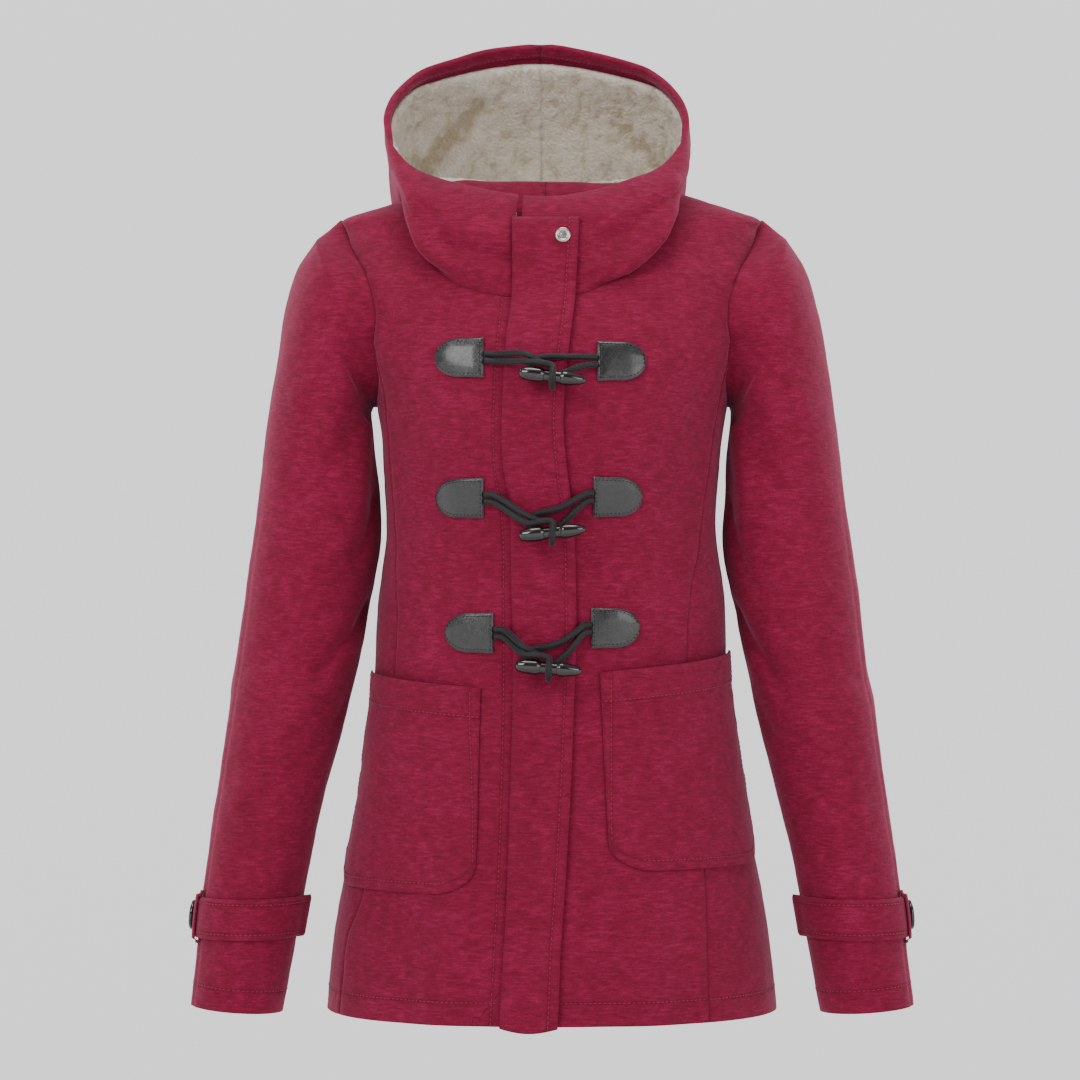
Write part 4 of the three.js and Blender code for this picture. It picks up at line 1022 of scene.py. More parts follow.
# Hood: paths from the neck seam to the rim, at angles round the neck from the front
HOOD_PATHS = [
    (0, [(0, -109, -66), (0, -110.5, -56), (0, -110.5, -46), (0, -109.5, -36), (0, -107, -26), (0, -104, -17),
         (0, -100, -9), (0, -94, 0), (0, -85, 7)]),
    (45, [(93, -92, -48), (98, -94, -40), (101, -94, -30), (103, -92, -18), (103, -88, -6), (102, -83, 5),
          (99, -76, 15), (95, -68, 23), (92, -58, 29)]),
    (70, [(109, -41, 6), (115, -42, 9), (119.5, -42, 15), (122, -41, 23), (124, -39, 31), (124.5, -36, 38),
          (124, -32, 45), (123, -28, 51), (122, -24, 56)]),
    (90, [(108, 1, 20.5), (113.5, 2, 19.5), (118, 3, 21), (121.5, 4, 26.5), (124.5, 5, 35), (127, 6, 46),
          (129, 6.5, 58), (130, 7, 70), (130, 7.5, 82)]),
    (110, [(97, 36, 23), (103, 44, 27), (110, 55, 25), (117, 66, 19), (123, 76, 18), (128, 82, 30),
           (131, 80, 52), (129, 64, 82), (122, 39, 108)]),
    (135, [(52, 55, 24), (62, 68, 31), (76, 84, 22), (88, 88, -12), (100, 106, -50), (112, 134, -50),
           (119, 152, 12), (112, 125, 88), (92, 73, 135)]),
    (180, [(0, 66, 26), (0, 80, 33), (0, 94, 12), (0, 101, -40), (0, 122, -86), (0, 160, -84), (0, 186, -10),
           (0, 172, 85), (0, 100, 157)]),
]
HOOD_ROWS = 16
LINING_START = 4
PATH_POINTS = 9


def hood_table(k):
    def flipped(path, centre):
        x, y, z = path[1][k]
        return [2 * centre - path[0], -x, y, z]

    rows = [flipped(HOOD_PATHS[1], 0), *[[angle, *points[k]] for angle, points in HOOD_PATHS],
            flipped(HOOD_PATHS[-2], 180)]
    return table(["angle", "x", "y", "z"], rows)


hood_tables = [hood_table(k) for k in range(PATH_POINTS)]
HOOD_FOLDS = [
    # from and to as angle and share of the path, width, height; the first four are those of the solids
    ([(-54, 0.5), (-18, 0.3)], 11, -3),
    ([(-52, 0.26), (-26, 0.12)], 9, 2),
    ([(56, 0.52), (12, 0.28)], 11, -3),
    ([(54, 0.28), (28, 0.12)], 9, 2),
]
HOOD_CREASES = [
    # front or back, places in x and z, width, height, sharpness
    (-1, [(-103, -2), (-95, -19), (-88, -31), (-78, -37), (-62, -37), (-36, -46)], 6, -3.4, 0.35),
    (-1, [(-104, 8), (-86, -14), (-70, -24), (-48, -26)], 8, 2.2, 0.2),
    (-1, [(-92, -44), (-74, -53), (-48, -58)], 7, 1.8, 0.2),
    (-1, [(102, 10), (80, -6), (60, -22), (42, -28)], 8, -4.0, 0.35),
    (-1, [(104, 20), (84, 10), (64, -4), (44, -10)], 8, 2.0, 0.2),
    (-1, [(88, -26), (70, -42), (44, -52), (26, -54)], 9, 2.4, 0.2),
    (-1, [(24, -19), (36, -15)], 5, -1.4, 0.3),
    (1, [(-104, -6), (-64, -34), (-22, -48)], 10, 2.2, 0.2),
    (1, [(92, -8), (56, -36), (14, -50)], 10, 2.2, 0.2),
    (1, [(-86, 40), (-56, 16), (-26, 4)], 11, -2.4, 0.2),
    (1, [(78, 34), (48, 12), (18, 2)], 11, -2.2, 0.2),
    (1, [(-100, 74), (-70, 62), (-40, 66)], 12, 1.8, 0.2),
]


def curve3(controls, t):
    """Catmull-Rom curves through controls (curves, points, 3), with straight ends, at t (curves, places)."""
    first = 2 * controls[:, :1] - controls[:, 1:2]
    final = 2 * controls[:, -1:] - controls[:, -2:-1]
    wide = np.concatenate([first, controls, final], 1)
    last = controls.shape[1] - 1
    p = t * last
    i = np.clip(np.floor(p).astype(int), 0, last - 1)
    w = (p - i)[..., None]
    rows = np.arange(len(controls))[:, None]
    return catmull(*[wide[rows, i + k] for k in range(4)], w)


def blurred(grid, count=1, axis=0):
    for _ in range(count):
        wide = np.concatenate([np.take(grid, [0], axis), grid, np.take(grid, [-1], axis)], axis)
        n = wide.shape[axis]
        grid = (np.take(wide, range(n - 2), axis) + 2 * np.take(wide, range(1, n - 1), axis)
                + np.take(wide, range(2, n), axis)) / 4
    return grid


neck_places = joined(neckline["right"], neckline["back"][::-1], neckline["left"][::-1])
neck_under, neck_seam, neck_out = seam_ring(neck_places, 1, (0, 0, 1.0), round_=False)
hood_angles = np.degrees(np.arctan2(neck_out[:, 0] - NECK_CENTRE, -neck_out[:, 1]))


def hood_controls():
    angle = np.abs(hood_angles)
    side = np.where(hood_angles < 0, -1.0, 1.0)
    lift = np.maximum(neck_out[:, 2] + 2 - hood_tables[0]["z"](angle), 0)
    points = [neck_out]
    for k, at in enumerate(hood_tables):
        share = k / (PATH_POINTS - 1)
        centre = NECK_CENTRE + (RIM_CENTRE - NECK_CENTRE) * share * smooth(angle, 8, 50)
        rise = lift * (1 - share) ** 2
        x, z = centre + side * at["x"](angle), at["z"](angle) + rise
        points.append(np.stack([x, at["y"](angle), z], -1))
    return np.stack(points, 1)


controls = hood_controls()
columns = len(controls)
probe = 0.6 + 0.4 * np.linspace(0, 1, 401)
probe_points = curve3(controls, np.tile(probe, (columns, 1)))
to_rim = np.linalg.norm(probe_points - probe_points[:, -1:], axis=-1)
hood_ends = probe[np.argmax(to_rim < RIM_TURN + 9, axis=1)]


def hood_face(rows, relief=1.0):
    """The hood's outer face at rows from 0, the neck, to 16, the rim, and its outward normals.

    Its columns run from the left front edge round the back to the right one.
    """
    low = np.minimum(rows, HOOD_ROWS - 1)[None, :] / (HOOD_ROWS - 1) * hood_ends[:, None]
    high = np.maximum(rows - (HOOD_ROWS - 1), 0)[None, :] * (1 - hood_ends[:, None])
    shares = low + high
    grid = curve3(controls, shares).swapaxes(0, 1)[:, ::-1]
    shares = shares.T[:, ::-1]
    angles = hood_angles[::-1][None, :] + 0 * shares
    normals = grid_normals(grid)
    here = np.stack([angles, shares * 80], -1)
    fold = np.zeros(shares.shape)
    for places, width, height in HOOD_FOLDS:
        fold += crease(here, [(a, s * 80) for a, s in places], width, height)
    taper = np.sqrt(np.clip(np.sin(math.pi * np.clip(shares, 0, 1)), 0, 1))
    for face, places, width, height, sharp in HOOD_CREASES:
        facing = smooth(face * grid[..., 1], 20, 60)
        fold += relief * facing * crease(grid[..., [0, 2]], places, width, height, sharp)
    fold *= taper
    grid = grid + normals * fold[..., None]
    return grid, grid_normals(grid)


split = (NECK_LEFT + NECK_BACK // 2) * FINE
HALVES = {"left": slice(0, split + 1), "right": slice(split, None)}

hood_rows = np.concatenate([np.linspace(0, 15, 84), [15.3, 15.6, 15.85, 16]])
face, face_normals = hood_face(hood_rows)
neck_turned = neck_under * 0.4 + neck_seam * 0.6 - np.array([0, 0, 0.8])
seam_rows = np.array([neck_under, neck_turned, neck_seam])[:, ::-1]
near_neck = edge_distances(face)["bottom"]
relief = (fuzz(face, 1.1) * smooth(near_neck, 0, 8)
          + 0.6 * np.exp(-near_neck / 10) * noise(face, (9, 9, 9), 51) * smooth(near_neck, 0, 4))
rim_waver = smooth(hood_rows, 11, 16)[:, None] * 0.8 * noise(face, (30, 30, 30), 53)
face = face + face_normals * (relief * (1 - smooth(hood_rows, 14, 16)[:, None]) + rim_waver)[..., None]
rim, rim_normal = face[-1], face_normals[-1]
rim_up = unit(blurred(unit(face[-1] - face[-4]), 3))
RIM_FOLD = 6.0
arc = []
for turn in np.radians([25, 55, 90, 125, 155, 180]):
    middle = rim - rim_normal * RIM_FOLD / 2
    arc.append(middle + rim_normal * RIM_FOLD / 2 * math.cos(turn) + rim_up * 2.4 * math.sin(turn))
waver = 1 + 0.07 * noise(rim, 26, 57)[:, None]
band = [arc[-1] - rim_up * RIM_TURN * waver * share for share in (0.3, 0.6, 0.85, 0.96, 1.0)]
band[-1] = band[-1] + rim_normal * 1.0
hood_outer = np.concatenate([seam_rows, face, np.array(arc), np.array(band)])
hood_normals = grid_normals(hood_outer)
hood_inner = hood_outer - hood_normals * CLOTH
from_rim = edge_distances(hood_outer)["top"]
hood_line = from_rim - RIM_STITCH
BACK_SEAM_GAP = 0.02  # how far each half is drawn in at the centre back seam
for side, half in HALVES.items():
    outer, inner = (drawn_in(grid[:, half], BACK_SEAM_GAP) for grid in (hood_outer, hood_inner))
    distances = edge_distances(outer)
    back_edge = distances["right"] if side == "left" else distances["left"]
    neck_edge = np.abs(distances["bottom"] - distances["bottom"][2:3])
    near = np.minimum(back_edge, neck_edge)
    dip = -0.9 * np.exp(-((back_edge / 2.4) ** 2))
    outer = outer + grid_normals(outer) * dip[..., None]
    node = f"hood_{side}"
    SEWN[node] = outer
    attributes = {"line": hood_line[:, half], "edge": near}
    dress(make_wall(node, outer, inner, coating, attributes), node)
    distances = edge_distances(outer)
    stitched("coating", outer, distances, "top", RIM_STITCH)
    stitched("coating", outer, distances, "right" if side == "left" else "left", 4.5, 0.02, 0.93)


def pile_height(points):
    """Curls of the fleece, 0 to 1."""
    warp = np.stack([noise(points, 13, seed) for seed in (61, 62, 63)], -1) * 3.0
    large = 1 - np.clip(np.abs(noise(points + warp, 10.5, 64)) * 2.3, 0, 1)
    small = 1 - np.clip(np.abs(noise(points + warp, 5.6, 65)) * 2.2, 0, 1)
    clump = 0.5 + 0.5 * noise(points, 21, 66)
    return 0.42 * large + 0.36 * small + 0.22 * clump


LINING_CREASES = [
    # places in x and z on the inside at the back of the hood, width, depth
    ([(-118, 47), (-102, 72), (-84, 94), (-66, 110)], 9, 6.0),
    ([(-98, 40), (-86, 62), (-70, 84)], 8, -2.5),
    ([(64, 92), (82, 76), (98, 54)], 8, 4.0),
    ([(-30, 30), (-10, 24), (12, 30)], 12, 2.5),
]


def make_lining():
    rows = np.linspace(LINING_START, HOOD_ROWS - 1 + 0.02, 112)
    grid, normals = hood_face(rows, 0.4)
    old = np.linspace(0, 1, grid.shape[1])
    new = np.linspace(0, 1, (grid.shape[1] - 1) * 3 + 1)

    def refined(values):
        return np.stack([np.stack([np.interp(new, old, row[:, c]) for c in range(3)], -1) for row in values])

    grid, normals = refined(grid), unit(refined(normals))
    pile = pile_height(grid)
    from_top = edge_distances(grid)["top"]
    from_low = edge_distances(grid)["bottom"]
    deep = np.zeros(pile.shape)
    for places, width, depth in LINING_CREASES:
        inside = smooth(grid[..., 1], 10, 50)
        deep += inside * crease(grid[..., [0, 2]], places, width, depth, 0.3)
    edge = smooth(from_top, 0, 4) * smooth(from_low, 0, 4)
    soft = 1.2 * noise(grid, 34, 67)
    least = CLOTH + LINING_GAP + 0.5
    height = least + 0.1 + (1.0 + 4.4 * pile + soft) * (0.25 + 0.75 * edge) - deep * edge
    height = np.maximum(height, least)
    near_side = grid - normals * (CLOTH + 0.9)
    far_side = grid - normals * height[..., None]
    shade = np.clip(pile - 0.12 * deep * edge, 0, 1)
    cut = (grid.shape[1] - 1) // (columns - 1) * split
    for side, half in {"left": slice(0, cut + 1), "right": slice(cut, None)}.items():
        node = f"hood_lining_{side}"
        outer, inner = far_side[:, half][:, ::-1], near_side[:, half][:, ::-1]
        dress(make_wall(node, outer, inner, fleece, {"pile": shade[:, half][:, ::-1]}), node)


make_lining()


# What lies on the front is set out from the faces below it, along Y
def tree_of(grids):
    points, faces, start = [], [], 0
    for grid in grids:
        rows, count = grid.shape[:2]
        i, j = np.meshgrid(np.arange(rows - 1), np.arange(count - 1), indexing="ij")
        corner = start + i * count + j
        faces.append(np.stack([corner, corner + 1, corner + count + 1, corner + count], -1).reshape(-1, 4))
        points.append(grid.reshape(-1, 3))
        start += rows * count
    return BVHTree.FromPolygons(np.concatenate(points).tolist(), np.concatenate(faces).tolist())


front_tree = tree_of([SEWN["front_right"], SEWN["front_left"], SEWN["hood_right"], SEWN["hood_left"]])


def front_y(x, z, missed=None):
    for height in (z, z + 1.5, z - 1.5, z + 4, z - 4):
        hit = front_tree.ray_cast(Vector((x, -400, height)), Vector((0, 1, 0)))[0]
        if hit is not None and hit.y < 0:
            return hit.y
    return -float(body["front"](z)) if missed is None else missed


def front_grid(x, z):
    """Y of the coat's face over a grid, without the small hollows of its seams."""
    y = np.array([[front_y(float(a), float(b), math.nan) for a, b in zip(*row)] for row in zip(x, z)])
    for row, places in zip(y, x):
        missed = np.isnan(row)
        order = np.argsort(places[~missed])
        row[missed] = np.interp(places[missed], places[~missed][order], row[~missed][order])
    for axis in (0, 1):
        wide = np.concatenate([np.take(y, [0], axis), y, np.take(y, [-1], axis)], axis)
        n = wide.shape[axis]
        y = np.minimum.reduce([np.take(wide, range(k, n - 2 + k), axis) for k in range(3)])
    return blurred(blurred(y, 2, 0), 2, 1)


PLACKET_THICK = 3.0
PLACKET_LAID = 1.8


def make_placket():
    vs, us = spaced(165, 662), spaced(18, 52)
    v, u = np.meshgrid(vs, us, indexing="ij")
    z = -673 + 662 * v
    seam, free = placket["seam"](z), placket["free"](z)
    free = free + 0.6 * noise(np.stack([0 * z, 0 * z, z], -1), 60, 71)
    x = seam + (free - seam) * u
    y = front_grid(x, np.clip(z, HEM + 1.5, None))
    grid = np.stack([x, y, z - 4 * np.sin(math.pi * u) * np.exp(-v * 150)], -1)
    distances = edge_distances(grid)
    near = np.minimum.reduce([distances[edge] for edge in ("left", "right", "top", "bottom")])
    sewn = ("right", TOP_STITCH, 0.008, 1.0)
    line_value = nearest_line(distances, [sewn])
    rounded = 1.5 * np.exp(-((near / 1.7) ** 2)) + 0.8 * np.exp(-distances["left"] / 2.5)
    rise = PLACKET_LAID + PLACKET_THICK - rounded
    wave = 0.5 * noise(grid, (20, 20, 26), 73)
    wave += 0.4 * np.exp(-np.abs(line_value) / 8) * noise(grid, (7, 7, 12), 75)
    lifted = 1.2 * smooth(u, 0.55, 1) * (0.5 + 0.5 * noise(grid, 75, 77))
    outer = grid - np.stack([0 * rise, rise + wave + lifted, 0 * rise], -1)
    inner = grid - np.stack([0 * rise, PLACKET_LAID - 0.9 + 0.7 * lifted, 0 * rise], -1)
    attributes = {"line": line_value, "edge": near + 1.2}
    dress(make_wall("placket", outer, inner, coating, attributes), "placket")
    stitched("coating", outer, edge_distances(outer), *sewn)


make_placket()

POCKETS = {
    "right": {"inner": 58, "low": 62, "top": -398, "top_side": -387, "bottom": -566, "corner": 24},
    "left": {"inner": 39, "low": 47, "top": -385, "top_side": -370, "bottom": -547, "corner": 24},
}
POCKET_SIDE = 84


def make_pocket(side):
    size = POCKETS[side]
    sign = -1 if side == "right" else 1
    vs, us = spaced(62, 180), spaced(50, 130)
    v, u = np.meshgrid(vs, us, indexing="ij")
    edge = np.minimum(u, 1 - u) * 130
    corner = size["corner"]
    rise = np.where(edge < corner, corner - np.sqrt(np.maximum(corner**2 - (corner - edge) ** 2, 0)), 0)
    top = size["top"] + (size["top_side"] - size["top"]) * u
    z = size["bottom"] + rise
    z = z + (top - z) * v
    low, inner = size["low"], size["inner"]
    near_x = low + (inner - low) * (z - size["bottom"]) / (size["top"] - size["bottom"])
    near_angle = on_front(near_x, z)[..., 0]
    places = np.stack([sign * (near_angle + (POCKET_SIDE - near_angle) * u), z], -1)
    belly = 2.5 * np.sin(math.pi * u) * np.sin(math.pi * v)
    mouth = 5.5 * v**5 * np.sin(math.pi * np.minimum(0.05 + 0.9 * u, 1))
    stand = LAID_ON + 0.3 + belly + mouth
    base = on_body(places)
    normals = body_normal(places)
    distances = edge_distances(base)
    sewn = np.minimum.reduce([distances[name] for name in ("left", "right", "bottom")])
    line_value = nearest_line(distances, [
        ("left", TOP_STITCH, 0.05, 1),
        ("right", TOP_STITCH, 0.05, 1),
        ("bottom", TOP_STITCH, 0.06, 0.94),
        ("top", POCKET_HEM, 0.0, 1.0),
    ])
    relief = -1.3 * np.exp(-((sewn / 1.8) ** 2)) - 0.6 * np.exp(-((distances["top"] / 1.6) ** 2))
    relief += fuzz(base, 0.8) + 0.5 * np.exp(-np.abs(line_value) / 8) * noise(base, (8, 8, 9), 81)
    relief += 0.5 * np.exp(-sewn / 7) * noise(base, 8, 83)
    relief += -1.1 * np.exp(-(((distances["top"] - 30) / 5) ** 2)) * (0.6 + 0.4 * noise(base, 30, 85))
    outer = base + normals * (stand + CLOTH + relief)[..., None]
    inner = base + normals * (stand * 0.9 + 0.2 + fuzz(base, 0.8))[..., None]
    if sign > 0:
        outer, inner, line_value, sewn = (a[:, ::-1] for a in (outer, inner, line_value, sewn))
    node = f"pocket_{side}"
    attributes = {"line": line_value, "edge": sewn + 1.0}
    dress(make_wall(node, outer, inner, coating, attributes), node)
    distances = edge_distances(outer)
    stitched("coating", outer, distances, "left", TOP_STITCH, 0.09)
    stitched("coating", outer, distances, "right", TOP_STITCH, 0.09)
    stitched("coating", outer, distances, "bottom", TOP_STITCH, 0.16, 0.84)
    stitched("coating", outer, distances, "top", POCKET_HEM)


for side in ("right", "left"):
    make_pocket(side)

# Closures
TAB_WIDTH, TAB_HEIGHT, TAB_THICK = 40, 33, 2.2
TOGGLE_OUT = 17.6
WAIST = 5
CLOSURES = [
    {"name": "top", "tab_right": (-76, -128), "tab_left": (57, -131), "toggle": (0, -145), "tilt": 7},
    {"name": "middle", "tab_right": (-76, -243), "tab_left": (54, -242), "toggle": (0, -271), "tilt": -6},
    {"name": "low", "tab_right": (-68, -353), "tab_left": (52, -349), "toggle": (-3, -381), "tilt": 5},
]


def make_tab(node, place, away):
    across = (1 - np.cos(np.linspace(0, math.pi, 30))) / 2
    up = (1 - np.cos(np.linspace(0, math.pi, 26))) / 2
    v, u = np.meshgrid(up, across, indexing="ij")
    half = np.where(u < 0.5, 1, np.sqrt(np.maximum(1 - ((u - 0.5) / 0.5) ** 2, 0.22**2))) * TAB_HEIGHT / 2
    bow = 1 - 0.035 * np.sin(math.pi * u)
    x = place[0] + away * (u - 0.5) * TAB_WIDTH
    z = place[1] + (-half + 2 * half * v) * bow
    grid = np.stack([x, front_grid(x, z), z], -1)
    distances = edge_distances(grid)
    near = np.minimum.reduce([distances[edge] for edge in distances])
    rise = LAID_ON + TAB_THICK - 1.0 * np.exp(-((near / 0.8) ** 2)) + 0.45 * smooth(near, 2.6, 9)
    outer = grid - np.stack([0 * rise, rise, 0 * rise], -1)
    inner = grid - np.stack([0 * rise, LAID_ON - 0.5 + 0 * rise, 0 * rise], -1)
    line_value = near - TAB_STITCH
    if away < 0:
        outer, inner, line_value, near = (a[:, ::-1] for a in (outer, inner, line_value, near))
    dress(make_wall(node, outer, inner, leather, {"line": line_value, "edge": near}), node)
    options = {"pitch": 3.3, "length": 2.4, "radius": 0.36, "sink": 0.1}
    distances = edge_distances(outer)
    round_end, flat_end = ("left", "right") if away < 0 else ("right", "left")
    keep = (0.0, 0.94) if away > 0 else (0.06, 1.0)
    for edge, low, high in (("top", *keep), ("bottom", *keep), (flat_end, 0.1, 0.9), (round_end, 0.3, 0.7)):
        stitched("leather", outer, distances, edge, TAB_STITCH, low, high, **options)


def band_y(x, z):
    return front_y(x, z) - PLACKET_LAID - PLACKET_THICK


def make_tube(name, grid, material):
    """A closed solid through rings of points, with flat ends."""
    rows, segments = grid.shape[:2]
    i, j = np.meshgrid(np.arange(rows - 1), np.arange(segments), indexing="ij")
    a, b = i * segments + j, i * segments + (j + 1) % segments
    faces = np.stack([a, b, b + segments, a + segments], -1).reshape(-1, 4).tolist()
    faces.append(list(range(segments))[::-1])
    faces.append([(rows - 1) * segments + k for k in range(segments)])
    mesh = bpy.data.meshes.new(name)
    mesh.from_pydata((grid.reshape(-1, 3) / 1000).tolist(), [], faces)
    mesh.polygons.foreach_set("use_smooth", [True] * len(mesh.polygons))
    mesh.materials.append(material)
    obj = bpy.data.objects.new(name, mesh)
    bpy.context.scene.collection.objects.link(obj)
    return obj


def turned_solid(name, profile, place, material, segments, along=(1, 0, 0), tilt=0.0):
    """A solid of revolution: profile rows are the distance along its axis and the radius there."""
    profile = np.array(profile, float)
    axis = unit(np.array(along, float))
    if tilt:
        c, s = math.cos(tilt), math.sin(tilt)
        axis = np.array([axis[0] * c + axis[2] * s, axis[1], -axis[0] * s + axis[2] * c])
    first = unit(np.cross(axis, [0.0, 0.3, 1.0]))
    second = np.cross(axis, first)
    turn = np.arange(segments) * 2 * math.pi / segments
    ring = first * np.cos(turn)[:, None] + second * np.sin(turn)[:, None]
    points = np.array(place) + profile[:, None, :1] * axis + profile[:, 1:, None] * ring[None]
    return make_tube(name, points, material)


TOGGLE_PROFILE = np.array([
    [-27.2, 0.3], [-27, 1.6], [-26.2, 3.2], [-24.5, 4.6], [-19, 5.9], [-12, 6.35], [-9.2, 6.2], [-7, 5.3],
    [-5.4, WAIST], [5.4, WAIST], [7, 5.3], [9.2, 6.1], [12, 6.05], [17, 5.3], [23, 3.9], [26, 2.5],
    [27.2, 1.1], [27.5, 0.3],
])


def make_toggle(closure):
    x, z = closure["toggle"]
    fine = spline(TOGGLE_PROFILE, np.linspace(0, 1, 90))
    fine[:, 1] = np.maximum(fine[:, 1], 0.2)
    place = (x, band_y(x, z) - TOGGLE_OUT, z)
    node = f"toggle_{closure['name']}"
    tilt = math.radians(closure["tilt"])
    dress(turned_solid(f"{node}_look", fine, place, horn, 44, tilt=tilt), node)


def centripetal(points, samples=24):
    """Centripetal Catmull-Rom curve through points."""
    points = np.asarray(points, float)
    wide = np.concatenate([[2 * points[0] - points[1]], points, [2 * points[-1] - points[-2]]])
    result = []
    for i in range(len(points) - 1):
        p0, p1, p2, p3 = wide[i:i + 4]
        t1 = np.linalg.norm(p1 - p0) ** 0.5
        t2 = t1 + np.linalg.norm(p2 - p1) ** 0.5
        t3 = t2 + np.linalg.norm(p3 - p2) ** 0.5
        t = np.linspace(t1, t2, samples, endpoint=i == len(points) - 2)[:, None]
        a1 = p0 + (p1 - p0) * t / t1
        a2 = p1 + (p2 - p1) * (t - t1) / (t2 - t1)
        a3 = p2 + (p3 - p2) * (t - t2) / (t3 - t2)
        b1 = a1 + (a2 - a1) * t / t2
        b2 = a2 + (a3 - a2) * (t - t1) / (t3 - t1)
        result.append(b1 + (b2 - b1) * (t - t1) / (t2 - t1))
    return np.concatenate(result)


CORD_STEP = 0.75  # between two rings of a cord
BRAID_LAY = 7.5  # along the cord, for one turn of a strand


def make_cord(node, points):
    """A braided cord along points, its strands raised."""
    path = centripetal(points)
    lengths = np.concatenate([[0], np.cumsum(np.linalg.norm(np.diff(path, axis=0), axis=1))])
    count = int(lengths[-1] / CORD_STEP)
    at = np.linspace(0, lengths[-1], count)
    path = np.stack([np.interp(at, lengths, path[:, c]) for c in range(3)], -1)
    path = blurred(path, 4)
    along = unit(np.gradient(path, axis=0))
    first = np.zeros_like(along)
    guide = unit(np.cross(along[0], [0.3, 1.0, 0.2]))
    for i, direction in enumerate(along):
        guide = unit(guide - direction * (guide @ direction))
        first[i] = guide
    second = np.cross(along, first)
    segments = 24
    turn = np.arange(segments) * 2 * math.pi / segments
    lead = at[:, None] * (2 * math.pi / BRAID_LAY)
    strands = np.cos(4 * (turn[None] + lead)) * np.cos(4 * (turn[None] - lead))
    braid = np.abs(strands)
    radius = CORD / 2 - 0.16 + 0.3 * braid
    ring = first[:, None] * np.cos(turn)[None, :, None] + second[:, None] * np.sin(turn)[None, :, None]
    obj = make_tube(f"{node}_look", path[:, None] + ring * radius[..., None], cord_black)
    layer = obj.data.attributes.new("braid", "FLOAT", "POINT")
    layer.data.foreach_set("value", braid.astype(np.float32).ravel())
    dress(obj, node)


def on_coat(x, z, out):
    return (x, front_y(x, z) - out, z)


def on_band(x, z):
    return (x, band_y(x, z) - CORD / 2 - 1, z)


def make_cords(closure):
    name = closure["name"]
    right, left = closure["tab_right"], closure["tab_left"]
    x, z = closure["toggle"]
    edge = right[0] + TAB_WIDTH / 2 + 0.4
    axis_y = band_y(x, z) - TOGGLE_OUT
    turn = WAIST + CORD / 2 + 1.3
    lift = 10.2
    slope = math.tan(math.radians(closure["tilt"]))

    def back(px):
        return z - (px - x) * slope

    upper, lower = right[1] + CORD * 0.56, right[1] - CORD * 0.56
    ax, ay, az = x - 20, band_y(x - 20, z) - 13, back(x - 20) + lift + 2
    make_cord(f"toggle_cord_{name}", [
        on_coat(edge, upper, 3.6),
        on_coat(edge + 8, upper - 0.5, 4.2),
        (ax, ay, az + 3.4),
        (x - 9, axis_y + 3.6, back(x - 9) + lift),
        (x, axis_y + 3.4, z + turn - 0.7),
        (x, axis_y + turn, z),
        (x, axis_y, z - turn),
        (x, axis_y - turn, z),
        (x, axis_y - 2.8, z + turn - 0.3),
        (x - 9, axis_y - 2.4, back(x - 9) + lift),
        (ax, ay - 3, az - 2.6),
        on_coat(edge + 8, lower - 0.5, 4.2),
        on_coat(edge, lower, 3.6),
    ])
    edge = left[0] - TAB_WIDTH / 2 - 0.4
    end = x - 17
    upper, lower = left[1] + CORD * 0.56, left[1] - CORD * 0.56
    low = z + 1
    high = min(z + 17, upper)
    make_cord(f"loop_cord_{name}", [
        on_coat(edge, upper, 3.6),
        on_coat(edge - 5, upper, 6),
        on_band(20, upper + (high - upper) * 0.3),
        on_band(10, upper + (high - upper) * 0.7),
        on_band(-4, high),
        on_band(end + 4, high - 2),
        on_band(end, (high + low) / 2),
        on_band(end + 4, low + 1),
        on_band(-2, low),
        on_band(10, low + (lower - low) * 0.3),
        on_band(20, low + (lower - low) * 0.7),
        on_coat(edge - 5, lower - 0.5, 6),
        on_coat(edge, lower, 3.6),
    ])


for closure in CLOSURES:
    make_tab(f"tab_right_{closure['name']}", closure["tab_right"], -1)
    make_tab(f"tab_left_{closure['name']}", closure["tab_left"], 1)
    make_toggle(closure)
    make_cords(closure)

# Snap cap at the top of the placket
snap_x, snap_z = 9, -27
lean = (band_y(snap_x, snap_z + 7) - band_y(snap_x, snap_z - 7)) / 14
snap_face = unit(np.array([0, -1.0, lean]))
SNAP_LAID = 0.25
snap_place = np.array([snap_x, band_y(snap_x, snap_z) - SNAP_LAID, snap_z])
SNAP_PROFILE = [
    (0, 0.2), (0, 4), (0, 5.9), (0.3, 6.35), (0.9, 6.5), (1.5, 6.4), (2.0, 6.0), (2.3, 5.5), (2.38, 5.0),
    (2.3, 4.5), (2.0, 4.2), (1.75, 3.9), (1.7, 3.3), (1.85, 2.2), (1.95, 1.1), (2.0, 0.2),
]
snap = turned_solid("snap_cap_look", SNAP_PROFILE, snap_place, metal, 48, tuple(snap_face))
dress(snap, "snap_cap")

# Cuff straps
STRAP = {"from": -34, "to": 184, "top": 13.78, "bottom": 14.6, "thickness": 2.6}
STRAP_LOOP = {"from": 14, "to": 23, "top": 13.66, "bottom": 14.72}
BUTTON_TURN = -6


